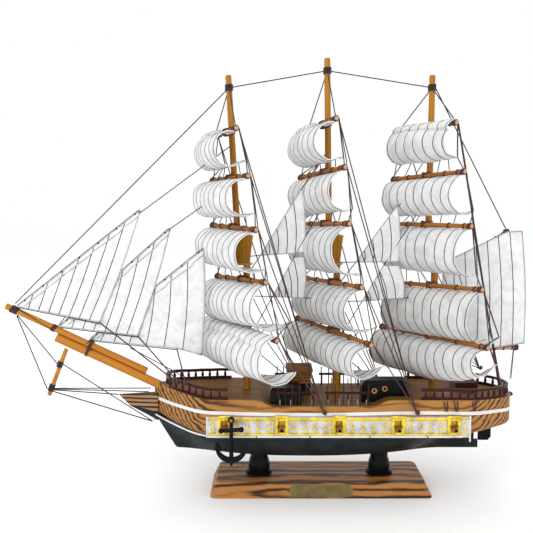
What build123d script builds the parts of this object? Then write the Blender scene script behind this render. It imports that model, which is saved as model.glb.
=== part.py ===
from build123d import *
import math
import os

# Decorative three-masted sailing ship on a stand, about 51 cm long and 42 cm high.
# Millimetres, +Z up. The origin is the middle of the base board's bottom face.
# The bow points to -X, the stern to +X, port is -Y and starboard is +Y.

os.makedirs("parts", exist_ok=True)

# ---------------------------------------------------------------- driving dimensions

# Stand
BASE_BOTTOM = (214.0, 70.0)
BASE_TOP = (202.0, 60.0)
BASE_T = 13.3
BASE_CORNER_R = 6.0
PLATE_SIZE = (61.0, 11.0)
PLATE_T = 0.7
POST_X = 60.0
POST_FOOT_R = 13.0
POST_BALL_R = 10.5
POST_NECK_R = 8.7
SCREW_R = 1.6
SCREW_HEAD_R = 3.6
SCREW_TIP_Z = 52.0

# Hull
HULL_BOTTOM_Z = 39.0
BOW_X = -163.5
STERN_X = 187.5
HALF_BEAM = 45.0
SHOULDER_X = -100.0
QUARTER_X = 128.0
FORE_DECK_Z = 98.5
WAIST_DECK_Z = 92.5
BOW_TIP_Z = 106.0
STERN_DECK_Z = 95.0
WATERLINE_Z = 63.5
DECK_T = 1.0
DECK_MARGIN = 1.6
KEEL_T = 3.0
KEEL_END_X = 158.0
FOREFOOT_R = 4.0
STERN_EDGE_R = 5.0
STRIPE_H = 3.2
STRIPE_T = 0.5
STRIP_X = (-109.0, 138.5)
STRIP_Z = (64.3, 83.4)
STRIP_T = 1.6
RUDDER_GAP = 0.3
RUDDER_STOCK_R = 2.0

# Cannons
CANNON_X = (-91.7, -38.6, 15.0, 70.3, 122.6)
CANNON_Z = 72.5
CANNON_R = 1.8
CANNON_OUT = 8.0
CANNON_DROOP = 8.0

# Rails
RAIL_H = 10.5
RAIL_BAR = 2.5
RAIL_INSET = 3.0
BALUSTER_R = 0.95
BALUSTER_PITCH = 8.0
BOW_RAIL_X = (-151.0, -89.0)
BOW_RAIL_SIDE = 41.5
STERN_RAIL_X = 92.0

# Deck fittings, as their lowest and highest corners
HOUSE_WALLS = ((-31.0, -4.0, WAIST_DECK_Z), (-9.0, 24.0, 116.0))
HOUSE_ROOF = ((-33.0, -6.0, 116.0), (-7.0, 26.0, 118.5))
CABIN = ((-49.0, -37.0, WAIST_DECK_Z), (-20.0, -9.0, 108.0))
CABIN_EDGE = 2.0
LONG_CABIN_MIDDLE = (61.0, -14.0, 102.0)
LONG_CABIN_SIZE = (46.0, 16.0, 24.0)
LONG_CABIN_ROUND = 6.0
LONG_CABIN_SKIRT = ((38.0, -30.0, WAIST_DECK_Z), (84.0, -14.0, 104.0))
PORTHOLES = ((50.0, 104.0), (60.0, 106.0))
HATCH = ((132.0, -11.0, FORE_DECK_Z - 1.0), (154.0, 11.0, 107.0))
HATCH_SLOTS = 6
HATCH_SLOT_PITCH = 3.4
HATCH_SLOT_W = 1.6
PIN_X = (-40.0, -30.0, -10.0, 5.0, 15.7, 24.0, 33.0, 41.0)
PIN_Y = 42.0
PIN_H = 6.0
PIN_R = 0.5

# Masts: a lower mast stands on the deck, a topmast is lashed to its front
MAST_R = 3.7
TOPMAST_R = 3.2
TOPMAST_TIP_R = 2.9
MAST_SOCKET = 6.0
NEST_Z = (223.8, 250.8)
NEST_TOP_R = 10.0
NEST_BOTTOM_R = 6.8
NEST_LEDGE_R = 9.6
LOWER_MAST_TOP_Z = 249.0
TOPMAST_HEEL_Z = 226.0

# Yards
YARD_R = 2.3
YARD_GAP = 0.6
SAIL_T = 0.7
SAIL_INSET = 4.0
SAIL_GAP = 0.5
LASHING_T = 1.0
LASHING_H = 4.0
LOOSE_LASHING_GAP = 1.6

# Threads
THREAD_R = 0.35
LINE_R = 0.45
FOOT_PITCH = 1.1
# Backstays' feet: x to port of the ship, x to starboard, distance from the middle plane, height
BACKSTAY_FEET = {
    "fore": (0.5, -18.0, HALF_BEAM + 1.4, 86.0),
    "main": (87.0, 68.0, HALF_BEAM + 1.4, 86.0),
    "mizzen": (168.0, 168.0, 30.0, 110.0),
}
STEM_EYE = (-166.0, 0.0, 65.0)
BEAK_TIP = (-199.6, 0.0, 92.4)

# name: lower mast x, topmast x at TOPMAST_HEEL_Z, topmast tip x and z, deck z, and for each yard:
# height, half length, the sail's drop and belly depth, brace angle, cant angle and shift to port
MASTS = {
    "fore": {
        "mast_x": -72.0, "heel_x": -79.4, "tip_x": -89.2, "tip_z": 404.0, "deck_z": FORE_DECK_Z,
        "yards": [(350, 40, 30, 20, 18, 0, -1), (306, 47, 33, 20, 25, 0, 1.5),
                  (259, 54, 35, 19, 26, -2, 3), (208, 62, 40, 24, 25, 2.5, -3),
                  (160, 79, 40, 22, 25.5, 0.5, 2)],
    },
    "main": {
        "mast_x": 16.3, "heel_x": 8.6, "tip_x": 5.4, "tip_z": 420.0, "deck_z": WAIST_DECK_Z,
        "yards": [(357, 40, 35, 20, 16, 3, -1), (311.5, 47, 36, 13, 24, 4, -3),
                  (262, 54, 43, 14, 22, 1.5, 0), (205, 62, 40, 15, 22, 1.5, 0),
                  (157.5, 79, 30, 17, 22.5, -0.5, 0)],
    },
    "mizzen": {
        "mast_x": 112.0, "heel_x": 104.9, "tip_x": 106.2, "tip_z": 404.0, "deck_z": FORE_DECK_Z,
        "yards": [(355, 41, 32, 17, 28.5, 0.5, 1), (308, 50, 34, 14, 31, 3, 2),
                  (261, 55, 40, 14, 33, 0.5, 5), (202, 62, 43, 15, 32, 2, 5),
                  (152, 79, 33, 17, 28, 1.5, 2)],
    },
}
SAIL_NAMES = ("royal", "topgallant", "upper_topsail", "lower_topsail", "course")

# Bowsprit
JIB_BOOM_TIP = (-308.5, 0.0, 181.0)
JIB_BOOM_HEEL = (-171.0, 0.0, 116.3)
JIB_BOOM_R = 3.2
BOWSPRIT_R = 4.2
BOWSPRIT_LENGTH = 112.0
BOWSPRIT_HEEL_X = -158.5
STRIKER_TOP = (-250.5, 0.0, 138.0)
STRIKER_FOOT = (-268.5, 0.0, 92.0)
STRIKER_R = 2.2

# Fore-and-aft sails, as corners (x, z), and the side of the middle plane each hangs on
JIBS = {
    "flying_jib": ([(-296.0, 180.0), (-175.0, 272.6), (-216.8, 165.2)], -2.4),
    "outer_jib": ([(-255.5, 160.8), (-146.6, 256.8), (-179.7, 151.5)], 0.0),
    "inner_jib": ([(-227.0, 147.0), (-114.0, 237.0), (-117.0, 131.5), (-141.3, 138.3)], 2.4),
}
STAYSAILS = [
    [(-58.5, 231.0), (-18.5, 296.0), (-16.0, 234.0)],
    [(-46.5, 190.5), (-26.0, 228.5), (-16.0, 230.0), (-16.0, 189.0)],
    [(35.0, 224.5), (74.5, 279.5), (76.5, 225.0)],
    [(41.5, 186.0), (62.0, 221.0), (77.0, 221.0), (82.5, 189.0)],
]
SPANKER_CORNERS = [(119.0, 223.4), (181.0, 254.0), (195.5, 254.8), (200.8, 144.6), (166.4, 139.2),
                   (119.0, 137.6)]
GAFF_END = (183.0, 0.0, 254.3)
BOOM_END = (195.7, 0.0, 140.0)
GAFF_HEEL_Z = 216.5
BOOM_HEEL_Z = 137.0
SPANKER_SPAR_R = 2.0
SPAR_HEEL_GAP = 1.7

# Anchors
ANCHOR_X = -85.0
ANCHOR_Y = 58.5
ANCHOR_TOP_Z = 87.0
ANCHOR_LENGTH = 45.0
ANCHOR_ARM_R = 14.5
ANCHOR_T = 4.0
ANCHOR_SHANK_R = 2.1
ANCHOR_STOCK_R = 1.9
ANCHOR_BALL_R = 2.6
ANCHOR_EYE_T = 2.4


# ---------------------------------------------------------------- helpers

def save(shape, name):
    shape.label = name
    export_step(shape, os.path.join("parts", name + ".step"))


def along(start, end):
    """A plane at start whose z axis points to end, and the distance between them."""
    a = Vector(*start)
    b = Vector(*end)
    return Plane(origin=a, z_dir=(b - a)), (b - a).length


def spar(start, end, start_r, end_r=None):
    """A round bar from start to end, tapered when end_r is given."""
    plane, length = along(start, end)
    base = (Align.CENTER, Align.CENTER, Align.MIN)
    if end_r is None or end_r == start_r:
        return plane * Cylinder(start_r, length, align=base)
    return plane * Cone(start_r, end_r, length, align=base)


def ring(center, z_dir, inner_r, outer_r, height):
    plane = Plane(origin=Vector(*center), z_dir=Vector(*z_dir))
    return plane * (Cylinder(outer_r, height) - Cylinder(inner_r, height))


def merge(solids):
    """Separate solids kept as one group."""
    flat = []
    for item in solids:
        flat.extend(item.solids())
    return Compound(children=flat)


def box_between(low, high):
    size = [h - l for l, h in zip(low, high)]
    middle = [(l + h) / 2 for l, h in zip(low, high)]
    return Location(tuple(middle)) * Box(*size)


def toward(start, end, distance):
    """The point at a distance from start on the way to end."""
    a = Vector(*start)
    step = (Vector(*end) - a).normalized()
    return tuple(a + step * distance)


def panel(corners, y, thickness):
    """A flat cloth panel in an XZ plane, given by its corners."""
    plane = Plane(origin=(0, y + thickness / 2, 0), x_dir=(1, 0, 0), z_dir=(0, -1, 0))
    face = plane * make_face(Polyline(*corners, close=True))
    return extrude(face, amount=thickness)


# ---------------------------------------------------------------- masts' geometry

def topmast_x(mast, z):
    """The topmast's axis, which is also the line that the yards swing about."""
    share = (z - TOPMAST_HEEL_Z) / (mast["tip_z"] - TOPMAST_HEEL_Z)
    return mast["heel_x"] + share * (mast["tip_x"] - mast["heel_x"])


def yard_frame(mast, yard):
    """Yard middle and directions: u to the port end, n forward, w up the mast."""
    z, brace_deg, cant_deg, shift = yard[0], *yard[4:]
    on_topmast = z > NEST_Z[1]
    lean = mast["tip_x"] - mast["heel_x"] if on_topmast else 0.0
    w = Vector(lean, 0, mast["tip_z"] - TOPMAST_HEEL_Z).normalized()
    brace = math.radians(brace_deg)
    u = Vector(math.sin(brace), -math.cos(brace), 0)
    u = (u - w * u.dot(w)).normalized()
    n = w.cross(u).normalized()
    if n.X > 0:
        n = n * -1
    axis_x = topmast_x(mast, z) if on_topmast else mast["mast_x"]
    radius = TOPMAST_R if on_topmast else MAST_R
    cant = math.radians(cant_deg)
    u, w = u * math.cos(cant) + w * math.sin(cant), w * math.cos(cant) - u * math.sin(cant)
    center = Vector(axis_x, 0, z) + n * (radius + YARD_R + YARD_GAP) + u * shift
    return center, u, n, w


# ---------------------------------------------------------------- stand

def make_screws():
    screws = []
    for x in (-POST_X, POST_X):
        shank = spar((x, 0, 0), (x, 0, SCREW_TIP_Z), SCREW_R)
        head = spar((x, 0, 0), (x, 0, 3.0), SCREW_HEAD_R, SCREW_R)
        screws.append(shank + head)
    return screws


def make_base():
    bottom = RectangleRounded(*BASE_BOTTOM, BASE_CORNER_R)
    top = Plane.XY.offset(BASE_T) * RectangleRounded(*BASE_TOP, BASE_CORNER_R)
    return loft([bottom, top])


def make_plate():
    rise = (BASE_BOTTOM[1] - BASE_TOP[1]) / 2
    middle_y = -(BASE_BOTTOM[1] + BASE_TOP[1]) / 4
    bevel = Plane(origin=(0, middle_y, BASE_T / 2), x_dir=(1, 0, 0), z_dir=(0, -BASE_T, rise))
    length, height = PLATE_SIZE
    return extrude(bevel * SlotOverall(length, height), amount=PLATE_T)


def make_post(x):
    with BuildPart() as post:
        with BuildSketch(Plane.XZ):
            with BuildLine():
                Polyline((0, BASE_T), (POST_FOOT_R, BASE_T), (POST_FOOT_R, BASE_T + 2.2),
                         (POST_FOOT_R - 2.5, BASE_T + 4.2))
                ThreePointArc((POST_FOOT_R - 2.5, BASE_T + 4.2), (POST_BALL_R, BASE_T + 10.0),
                              (POST_NECK_R, BASE_T + 16.5))
                Polyline((POST_NECK_R, BASE_T + 16.5), (POST_NECK_R, HULL_BOTTOM_Z),
                         (0, HULL_BOTTOM_Z), (0, BASE_T))
            make_face()
        revolve(axis=Axis.Z)
    return Location((x, 0, 0)) * post.part


# ---------------------------------------------------------------- hull

def plan_face(grow=0.0):
    """The deck's outline from above, a pointed bow and a rounded stern."""
    beam = HALF_BEAM + grow
    bow = BOW_X - grow
    stern = STERN_X + grow
    with BuildSketch() as sketch:
        with BuildLine():
            Spline((bow, 0), (-149.0 - grow * 0.7, 14.0 + grow), (-129.0, 32.5 + grow), (SHOULDER_X, beam),
                   tangents=[(1.0, 0.7), (1.0, 0.0)])
            Line((SHOULDER_X, beam), (QUARTER_X, beam))
            Spline((QUARTER_X, beam), (166.0 + grow * 0.7, 30.5 + grow * 0.7), (stern, 0),
                   tangents=[(1.0, 0.0), (0.0, -1.0)])
            Line((stern, 0), (bow, 0))
        make_face()
        mirror(about=Plane.XZ)
    return sketch.sketch


def sheer_points(drop=0.0):
    """The line of the deck's edge from bow to stern, with the low waist amidships."""
    return [
        (-175.0, BOW_TIP_Z + 0.5 - drop), (-110.0, FORE_DECK_Z + 0.4 - drop), (-64.0, FORE_DECK_Z - drop),
        (-44.0, WAIST_DECK_Z - drop), (44.0, WAIST_DECK_Z - drop),
        (66.0, FORE_DECK_Z - drop), (132.0, FORE_DECK_Z - drop), (195.0, STERN_DECK_Z - 0.3 - drop),
    ]


def s_curve(start, end):
    """Two equal arcs from a level start to a level end."""
    middle = ((start[0] + end[0]) / 2, (start[1] + end[1]) / 2)
    first = TangentArc(start, middle, tangent=(1, 0))
    return [first, TangentArc(middle, end, tangent=first % 1)]


def sheer_edges(drop=0.0):
    p = sheer_points(drop)
    edges = [Line(p[0], p[1]), Line(p[1], p[2])]
    edges += s_curve(p[2], p[3])
    edges += [Line(p[3], p[4])]
    edges += s_curve(p[4], p[5])
    edges += [Line(p[5], p[6]), Line(p[6], p[7])]
    return edges


def side_block(edges, floor_z):
    """The room under a side-view line, right across the hull."""
    plane = Plane(origin=(0, 80, 0), x_dir=(1, 0, 0), z_dir=(0, -1, 0))
    start = edges[0] @ 0
    end = edges[-1] @ 1
    closing = Polyline((end.X, end.Y), (end.X, floor_z), (start.X, floor_z), (start.X, start.Y))
    return extrude(plane * make_face(edges + closing.edges()), amount=160)


def waterline_block():
    """Everything below the upper hull's lower edge."""
    line = Spline((-175.0, 75.5), (-150.0, 71.5), (-112.0, 64.8), (-40.0, WATERLINE_Z),
                  (60.0, WATERLINE_Z), (128.0, 65.0), (160.0, 67.0), (195.0, 67.0))
    return side_block([line], 0.0)


def make_upper_hull():
    block = extrude(plan_face(), amount=120)
    upper = (block & side_block(sheer_edges(), 20.0)) - waterline_block()
    aft_edges = upper.edges().filter_by_position(Axis.X, 140.0, 195.0)
    stern_edges = aft_edges.filter_by_position(Axis.Z, 60.0, 68.5)
    return fillet(stern_edges, STERN_EDGE_R)


def half_outline(z, points, start_dir, end_dir):
    """Half of a level section of the lower hull, closed along the middle plane."""
    with BuildSketch(Plane.XY.offset(z)) as sketch:
        with BuildLine():
            Spline(*points, tangents=[start_dir, end_dir])
            Line(points[-1], (points[-1][0], 0))
            Line((points[-1][0], 0), (points[0][0], 0))
            Line((points[0][0], 0), points[0])
        make_face()
    return sketch.sketch


def make_lower_hull():
    bottom = half_outline(HULL_BOTTOM_Z, [(-142.5, 1.2), (-112.0, 9.0), (-74.0, 20.5), (-18.0, 26.0),
                                          (42.0, 22.0), (84.0, 11.0), (118.0, 1.5)], (1, 0.1), (1, -0.1))
    middle = half_outline(52.0, [(-150.5, 1.2), (-120.0, 20.0), (-80.0, 35.0), (-18.0, 40.0),
                                 (48.0, 37.0), (100.0, 23.0), (138.0, 2.0)], (1, 0.3), (1, -0.4))
    top = half_outline(76.0, [(-165.0, 1.2), (-130.0, 29.5), (-96.0, 43.6), (-30.0, 44.6),
                              (60.0, 44.6), (125.0, 42.0), (157.0, 20.0)], (1, 1.0), (0.3, -1))
    starboard = loft([bottom, middle, top])
    hull = starboard + mirror(starboard, about=Plane.XZ)
    keel = box_between((100.0, -KEEL_T / 2, HULL_BOTTOM_Z), (KEEL_END_X, KEEL_T / 2, 47.0))
    deadwood = box_between((110.0, -KEEL_T / 2, 46.0), (KEEL_END_X - 4.0, KEEL_T / 2, 72.0))
    hull = (hull + keel + deadwood) & waterline_block()
    stem = hull.edges().filter_by_position(Axis.X, -146.0, -140.0).filter_by_position(Axis.Z, 38.0, 40.0)
    return fillet(stem, FOREFOOT_R)


def make_deck():
    """Planked deck let into the top of the hull, flush with its edge."""
    inner = extrude(plan_face(-DECK_MARGIN), amount=120)
    band = side_block(sheer_edges(), 20.0) - side_block(sheer_edges(DECK_T), 20.0)
    return inner & band


def make_stripe(block):
    """White moulding round the hull's sides."""
    outer = extrude(plan_face(STRIPE_T), amount=120) - block
    points = [(-175.0, 92.0), (-109.0, 88.6), (0.0, 86.8), (130.0, 87.9), (195.0, 83.0)]
    lower = [(x, z - STRIPE_H) for x, z in points]
    band = side_block([Spline(*points)], 20.0) - side_block([Spline(*lower)], 20.0)
    return outer & band


def make_gun_strip(side, block):
    """Plastic strip with panels and scrolls along one side, above the waterline."""
    outer = extrude(plan_face(STRIP_T), amount=120) - block
    low_y, high_y = sorted((side * 20.0, side * 80.0))
    return outer & box_between((STRIP_X[0], low_y, STRIP_Z[0]), (STRIP_X[1], high_y, STRIP_Z[1]))


def cannon(x, side):
    droop = math.radians(CANNON_DROOP)
    start = (x, side * (HALF_BEAM - 6.0), CANNON_Z + 2.0)
    reach = CANNON_OUT + 6.0
    end = (x, side * (HALF_BEAM + STRIP_T + CANNON_OUT), start[2] - reach * math.tan(droop))
    barrel = spar(start, end, CANNON_R + 0.2, CANNON_R - 0.2)
    muzzle = spar(toward(end, start, 1.4), end, CANNON_R + 0.25)
    bore = spar(toward(end, start, 4.0), toward(start, end, 40.0), 0.8)
    return (barrel + muzzle) - bore


def make_beakhead():
    outline = [(-199.0, 92.6), (-160.0, 94.3), (-160.0, 67.5), (-169.2, 72.4), (-176.3, 76.0),
               (-187.8, 81.6)]
    side = panel(outline, 0, 12.0)
    with BuildSketch() as plan:
        Polygon((-199.5, 1.0), (-160.0, 5.0), (-160.0, -5.0), (-199.5, -1.0), align=None)
    return side & extrude(plan.sketch, amount=120)


def make_rudder():
    """A rounded blade on a round stock that turns just behind the keel's end."""
    x0 = KEEL_END_X + RUDDER_GAP + RUDDER_STOCK_R
    blade = panel([(x0, 46.6), (x0, 66.2), (x0 + 7.5, 66.2), (x0 + 10.5, 62.0), (x0 + 10.5, 50.0),
                   (x0 + 7.5, 46.6)], 0, 2 * RUDDER_STOCK_R)
    corners = blade.edges().filter_by(Axis.Y).sort_by(Axis.X)[-4:]
    stock = spar((x0, 0, 46.6), (x0, 0, 66.2), RUDDER_STOCK_R)
    return fillet(corners, 1.2) + stock


# ---------------------------------------------------------------- deck fittings

def bow_rail_plan(grow):
    """The bow rail's outline, rounded across the bow."""
    side = BOW_RAIL_SIDE + grow
    with BuildSketch() as sketch:
        with BuildLine():
            Spline((BOW_RAIL_X[0] - grow, 0), (-130.0 - grow * 0.7, 26.5 + grow * 0.7), (SHOULDER_X, side),
                   tangents=[(0.0, 1.0), (1.0, 0.1)])
            Line((SHOULDER_X, side), (-60.0, side))
            Line((-60.0, side), (-60.0, 0))
            Line((-60.0, 0), (BOW_RAIL_X[0] - grow, 0))
        make_face()
        mirror(about=Plane.XZ)
    return sketch.sketch


def stern_rail_plan(grow):
    return plan_face(grow - RAIL_INSET)


def baluster(x, y, deck_z):
    """One turned baluster: a slim stem with its belly low down."""
    foot = RAIL_BAR * 0.6
    head = RAIL_H - RAIL_BAR * 0.6
    belly = BALUSTER_R * 1.6
    outline = [(0, foot), (BALUSTER_R, foot), (BALUSTER_R, RAIL_H * 0.24), (belly, RAIL_H * 0.38),
               (belly, RAIL_H * 0.46), (BALUSTER_R, RAIL_H * 0.66), (BALUSTER_R, head), (0, head)]
    with BuildSketch(Plane.XZ) as sketch:
        with BuildLine():
            Polyline(*outline, close=True)
        make_face()
    return Location((x, y, deck_z)) * revolve(sketch.sketch, axis=Axis.Z)


def make_rail(plan, low_x, high_x, deck_block):
    """A turned-baluster rail on the deck between two stations."""
    outer = extrude(plan(RAIL_BAR / 2), amount=130)
    wall = outer - extrude(plan(-RAIL_BAR / 2), amount=130)
    wall = wall & box_between((low_x, -80, 60), (high_x, 80, 130))
    cap = wall & (side_block(sheer_edges(-RAIL_H), 20.0) - side_block(sheer_edges(-RAIL_H + RAIL_BAR), 20.0))
    sill = wall & (side_block(sheer_edges(-RAIL_BAR), 20.0) - deck_block)
    rail = cap.solids() + sill.solids()
    path = plan(0.0).wires()[0]
    count = int(path.length / BALUSTER_PITCH)
    for i in range(count):
        spot = path.position_at((i + 0.5) / count)
        if low_x + 1.0 < spot.X < high_x - 1.0:
            rail += baluster(spot.X, spot.Y, deck_height(spot.X)).solids()
    return rail[0].fuse(*rail[1:])


def deck_height(x):
    """The deck's height at a station on the fore deck or the quarterdeck."""
    points = sheer_points()
    for (x0, z0), (x1, z1) in zip(points, points[1:]):
        if x0 <= x <= x1:
            return z0 + (z1 - z0) * (x - x0) / (x1 - x0)
    return FORE_DECK_Z


def make_pins():
    """Silver pins that carry the low lines along the waist, on both sides."""
    pins = []
    for x in PIN_X:
        for y in (-PIN_Y, PIN_Y):
            pins.append(spar((x, y, WAIST_DECK_Z), (x, y, WAIST_DECK_Z + PIN_H), PIN_R))
    return pins


def make_house():
    return box_between(*HOUSE_WALLS) + box_between(*HOUSE_ROOF)


def make_cabin():
    body = box_between(*CABIN)
    return chamfer(body.faces().sort_by(Axis.Z)[-1].edges(), CABIN_EDGE)


def make_long_cabin():
    """Long black deck cabin with a rounded top and portholes on its port side."""
    x, y, z = LONG_CABIN_MIDDLE
    length, depth, height = LONG_CABIN_SIZE
    profile = Plane.XZ * Location((x, z)) * RectangleRounded(length, height, LONG_CABIN_ROUND)
    return Location((0, y, 0)) * extrude(profile, amount=depth) + box_between(*LONG_CABIN_SKIRT)


def make_portholes():
    face_y = LONG_CABIN_SKIRT[0][1] - 0.5
    return [ring((x, face_y, z), (0, 1, 0), 1.4, 2.6, 1.0) for x, z in PORTHOLES]


def make_stern_hatch():
    """A box with a slotted lid."""
    low, high = HATCH
    slots = []
    for i in range(HATCH_SLOTS):
        x = low[0] + 2.6 + i * HATCH_SLOT_PITCH
        slots.append(box_between((x, low[1] + 2.0, high[2] - 1.2),
                                 (x + HATCH_SLOT_W, high[1] - 2.0, high[2] + 0.5)))
    return box_between(low, high) - slots


def make_anchor(side):
    """Admiralty anchor: eye, ball-ended stock, shank, crescent arms and pointed flukes."""
    x, y, top = ANCHOR_X, side * ANCHOR_Y, ANCHOR_TOP_Z
    foot = top - ANCHOR_LENGTH
    eye = ring((x, y, top - 3.0), (0, 1, 0), 1.6, 3.0, ANCHOR_EYE_T)
    shank = spar((x, y, top - 5.2), (x, y, foot + 2.0), ANCHOR_SHANK_R - 0.4, ANCHOR_SHANK_R)
    stock_ends = [(x - 9.2, y, top - 13.2), (x + 9.2, y, top - 12.0)]
    stock = spar(*stock_ends, ANCHOR_STOCK_R)
    balls = [Location(end) * Sphere(ANCHOR_BALL_R) for end in stock_ends]
    arms = Plane(origin=(x, y, foot + 16.5), z_dir=(0, 1, 0)) * Cylinder(ANCHOR_ARM_R, ANCHOR_T)
    arms = arms - Plane(origin=(x, y, foot + 19.1), z_dir=(0, 1, 0)) * Cylinder(ANCHOR_ARM_R - 1.9, ANCHOR_T)
    arms = arms & box_between((x - 20, y - 5, foot), (x + 20, y + 5, foot + 16.5))
    crown = spar((x, y, foot + 4.0), (x, y, foot - 1.5), ANCHOR_SHANK_R + 0.5, 0.7)
    flukes = []
    for arm in (-1, 1):
        middle = x + arm * (ANCHOR_ARM_R - 2.2)
        flukes.append(panel([(middle - 3.4, foot + 14.5), (middle + 3.4, foot + 14.5),
                             (middle + arm * 1.2, foot + 22.0)], y, ANCHOR_T))
    return shank.fuse(stock, *balls, eye, arms, crown, *flukes)


def make_anchor_hook(side):
    """Copper wire that leaves the hull and ends in a pin through the anchor's eye."""
    x = ANCHOR_X
    z = ANCHOR_TOP_Z - 3.0
    pin = spar((x, side * (HALF_BEAM + STRIP_T + 0.1), z), (x, side * (ANCHOR_Y + 3.4), z), 0.8)
    knob = Location((x, side * (ANCHOR_Y + 3.6), z)) * Sphere(1.3)
    return pin + knob


# ---------------------------------------------------------------- masts

def make_lower_mast(mast):
    foot = (mast["mast_x"], 0, mast["deck_z"] - MAST_SOCKET)
    return spar(foot, (mast["mast_x"], 0, LOWER_MAST_TOP_Z), MAST_R, MAST_R - 0.4)


def make_topmast(mast):
    heel = (mast["heel_x"], 0, TOPMAST_HEEL_Z)
    tip = (mast["tip_x"], 0, mast["tip_z"])
    pole = spar(heel, tip, TOPMAST_R, TOPMAST_TIP_R)
    return fillet(pole.edges().sort_by(Axis.Z)[-1], 1.6)


def make_nest(mast, poles):
    x = (mast["mast_x"] + mast["heel_x"]) / 2
    low, high = NEST_Z
    bucket = spar((x, 0, low), (x, 0, high), NEST_BOTTOM_R, NEST_TOP_R)
    recess = spar((x, 0, high - 3.0), (x, 0, high), NEST_TOP_R - 1.6, NEST_TOP_R - 1.2)
    ledge = spar((x, 0, low - 1.8), (x, 0, low), NEST_LEDGE_R)
    nest = (bucket - recess) + ledge
    for pole in poles:
        nest = nest - pole
    return nest


# ---------------------------------------------------------------- yards and square sails

def make_yard(mast, yard):
    center, u, _, _ = yard_frame(mast, yard)
    half_length = yard[1]
    port = center + u * half_length
    starboard = center - u * half_length
    return spar(tuple(starboard), tuple(center), YARD_R - 0.3, YARD_R) + \
        spar(tuple(center), tuple(port), YARD_R, YARD_R - 0.3)


def make_square_sail(mast, yard):
    """A bellied cloth shell that hangs under its yard and curls back at the foot."""
    center, u, n, w = yard_frame(mast, yard)
    _, half_length, drop, belly = yard[:4]
    reach = half_length - SAIL_INSET
    plane = Plane(origin=center - u * reach, x_dir=n, z_dir=u)
    up = 1.0 if plane.y_dir.dot(w) > 0 else -1.0
    head = up * -(YARD_R + SAIL_GAP)
    foot = head - up * drop
    outer = ThreePointArc((SAIL_T, head), (belly, (head + foot) / 2), (SAIL_T, foot))
    middle = outer.arc_center
    share = (outer.radius - SAIL_T) / outer.radius
    ends = [middle + (Vector(SAIL_T, z_end) - middle) * share for z_end in (head, foot)]
    inner = ThreePointArc(ends[1], (belly - SAIL_T, (head + foot) / 2), ends[0])
    caps = [Line(outer @ 1, inner @ 0), Line(inner @ 1, outer @ 0)]
    section = make_face([outer, caps[0], inner, caps[1]])
    return extrude(plane * section, amount=2 * reach)


def make_lashings(mast, yards):
    """Thread rings that hold each yard to its mast and let it swing."""
    rings = []
    for spec, yard in zip(mast["yards"], yards):
        z = spec[0]
        if z > NEST_Z[1]:
            lean = (mast["tip_x"] - mast["heel_x"], 0, mast["tip_z"] - TOPMAST_HEEL_Z)
            inner = TOPMAST_R + YARD_GAP
            collar = ring((topmast_x(mast, z), 0, z), lean, inner, inner + LASHING_T, LASHING_H)
        else:
            inner = MAST_R + LOOSE_LASHING_GAP
            collar = ring((mast["mast_x"], 0, z), (0, 0, 1), inner, inner + LASHING_T, LASHING_H)
        rings.append(collar - yard)
    return rings


def make_leech_lines(mast):
    """Threads that join the yard ends down each side and hang the top one from the masthead."""
    threads = []
    frames = [yard_frame(mast, yard) for yard in mast["yards"]]
    for side in (1, -1):
        for i in range(4):
            center, u, n, w = frames[i]
            low_center, low_u, low_n, low_w = frames[i + 1]
            reach = mast["yards"][i][1] - 2.0
            low_reach = mast["yards"][i + 1][1] - 2.0
            back = n * -(YARD_R + 0.5)
            start = center + u * side * reach + back
            end = low_center + low_u * side * low_reach + back
            threads.append(spar(tuple(start), tuple(end), THREAD_R))
    head = Vector(topmast_x(mast, mast["tip_z"] - 12.0), 0, mast["tip_z"] - 12.0)
    center, u, n, w = frames[0]
    for side in (1, -1):
        end = center + u * side * (mast["yards"][0][1] - 3.0) + w * (YARD_R + 0.5)
        start = head + (end - head).normalized() * (TOPMAST_R + 2.0)
        threads.append(spar(tuple(start), tuple(end), THREAD_R))
    return threads


# ---------------------------------------------------------------- standing threads

def masthead(name):
    mast = MASTS[name]
    z = mast["tip_z"] - 12.0
    return Vector(topmast_x(mast, z), 0, z)


def make_stays():
    """Threads between the mastheads and the bowsprit, and under the bowsprit."""
    tip = Vector(*JIB_BOOM_TIP)
    stays = []
    clear = TOPMAST_R + 1.2
    heads = [masthead(name) for name in ("fore", "main", "mizzen")]
    for a, b in ((heads[0], heads[1]), (heads[1], heads[2])):
        step = (b - a).normalized() * clear
        stays.append(spar(tuple(a + step), tuple(b - step), THREAD_R))
    nose = tip + Vector(9.0, 0, 2.6)
    down = (nose - heads[0]).normalized()
    stays.append(spar(tuple(heads[0] + down * clear), tuple(nose), THREAD_R))
    stays.extend(make_martingale())
    return stays


def make_martingale():
    """Threads from the jib boom to the dolphin striker, the stem and the bow."""
    foot = Vector(STRIKER_FOOT[0] + 1.0, 0, STRIKER_FOOT[2] + 5.0)
    nose = (JIB_BOOM_TIP[0] + 10.0, 0, JIB_BOOM_TIP[2] - 9.5)
    threads = [spar(nose, tuple(foot + Vector(-3.8, 0, 1.0)), THREAD_R)]
    threads.append(spar(tuple(foot + Vector(3.8, 0, -1.5)), STEM_EYE, THREAD_R))
    threads.append(spar(tuple(foot + Vector(3.8, 0, 0)), BEAK_TIP, THREAD_R))
    for side in (-1, 1):
        start = foot + Vector(3.8, side * 1.2, 1.2)
        threads.append(spar(tuple(start), (-168.5, side * 7.0, 97.0), THREAD_R))
    return threads


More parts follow.
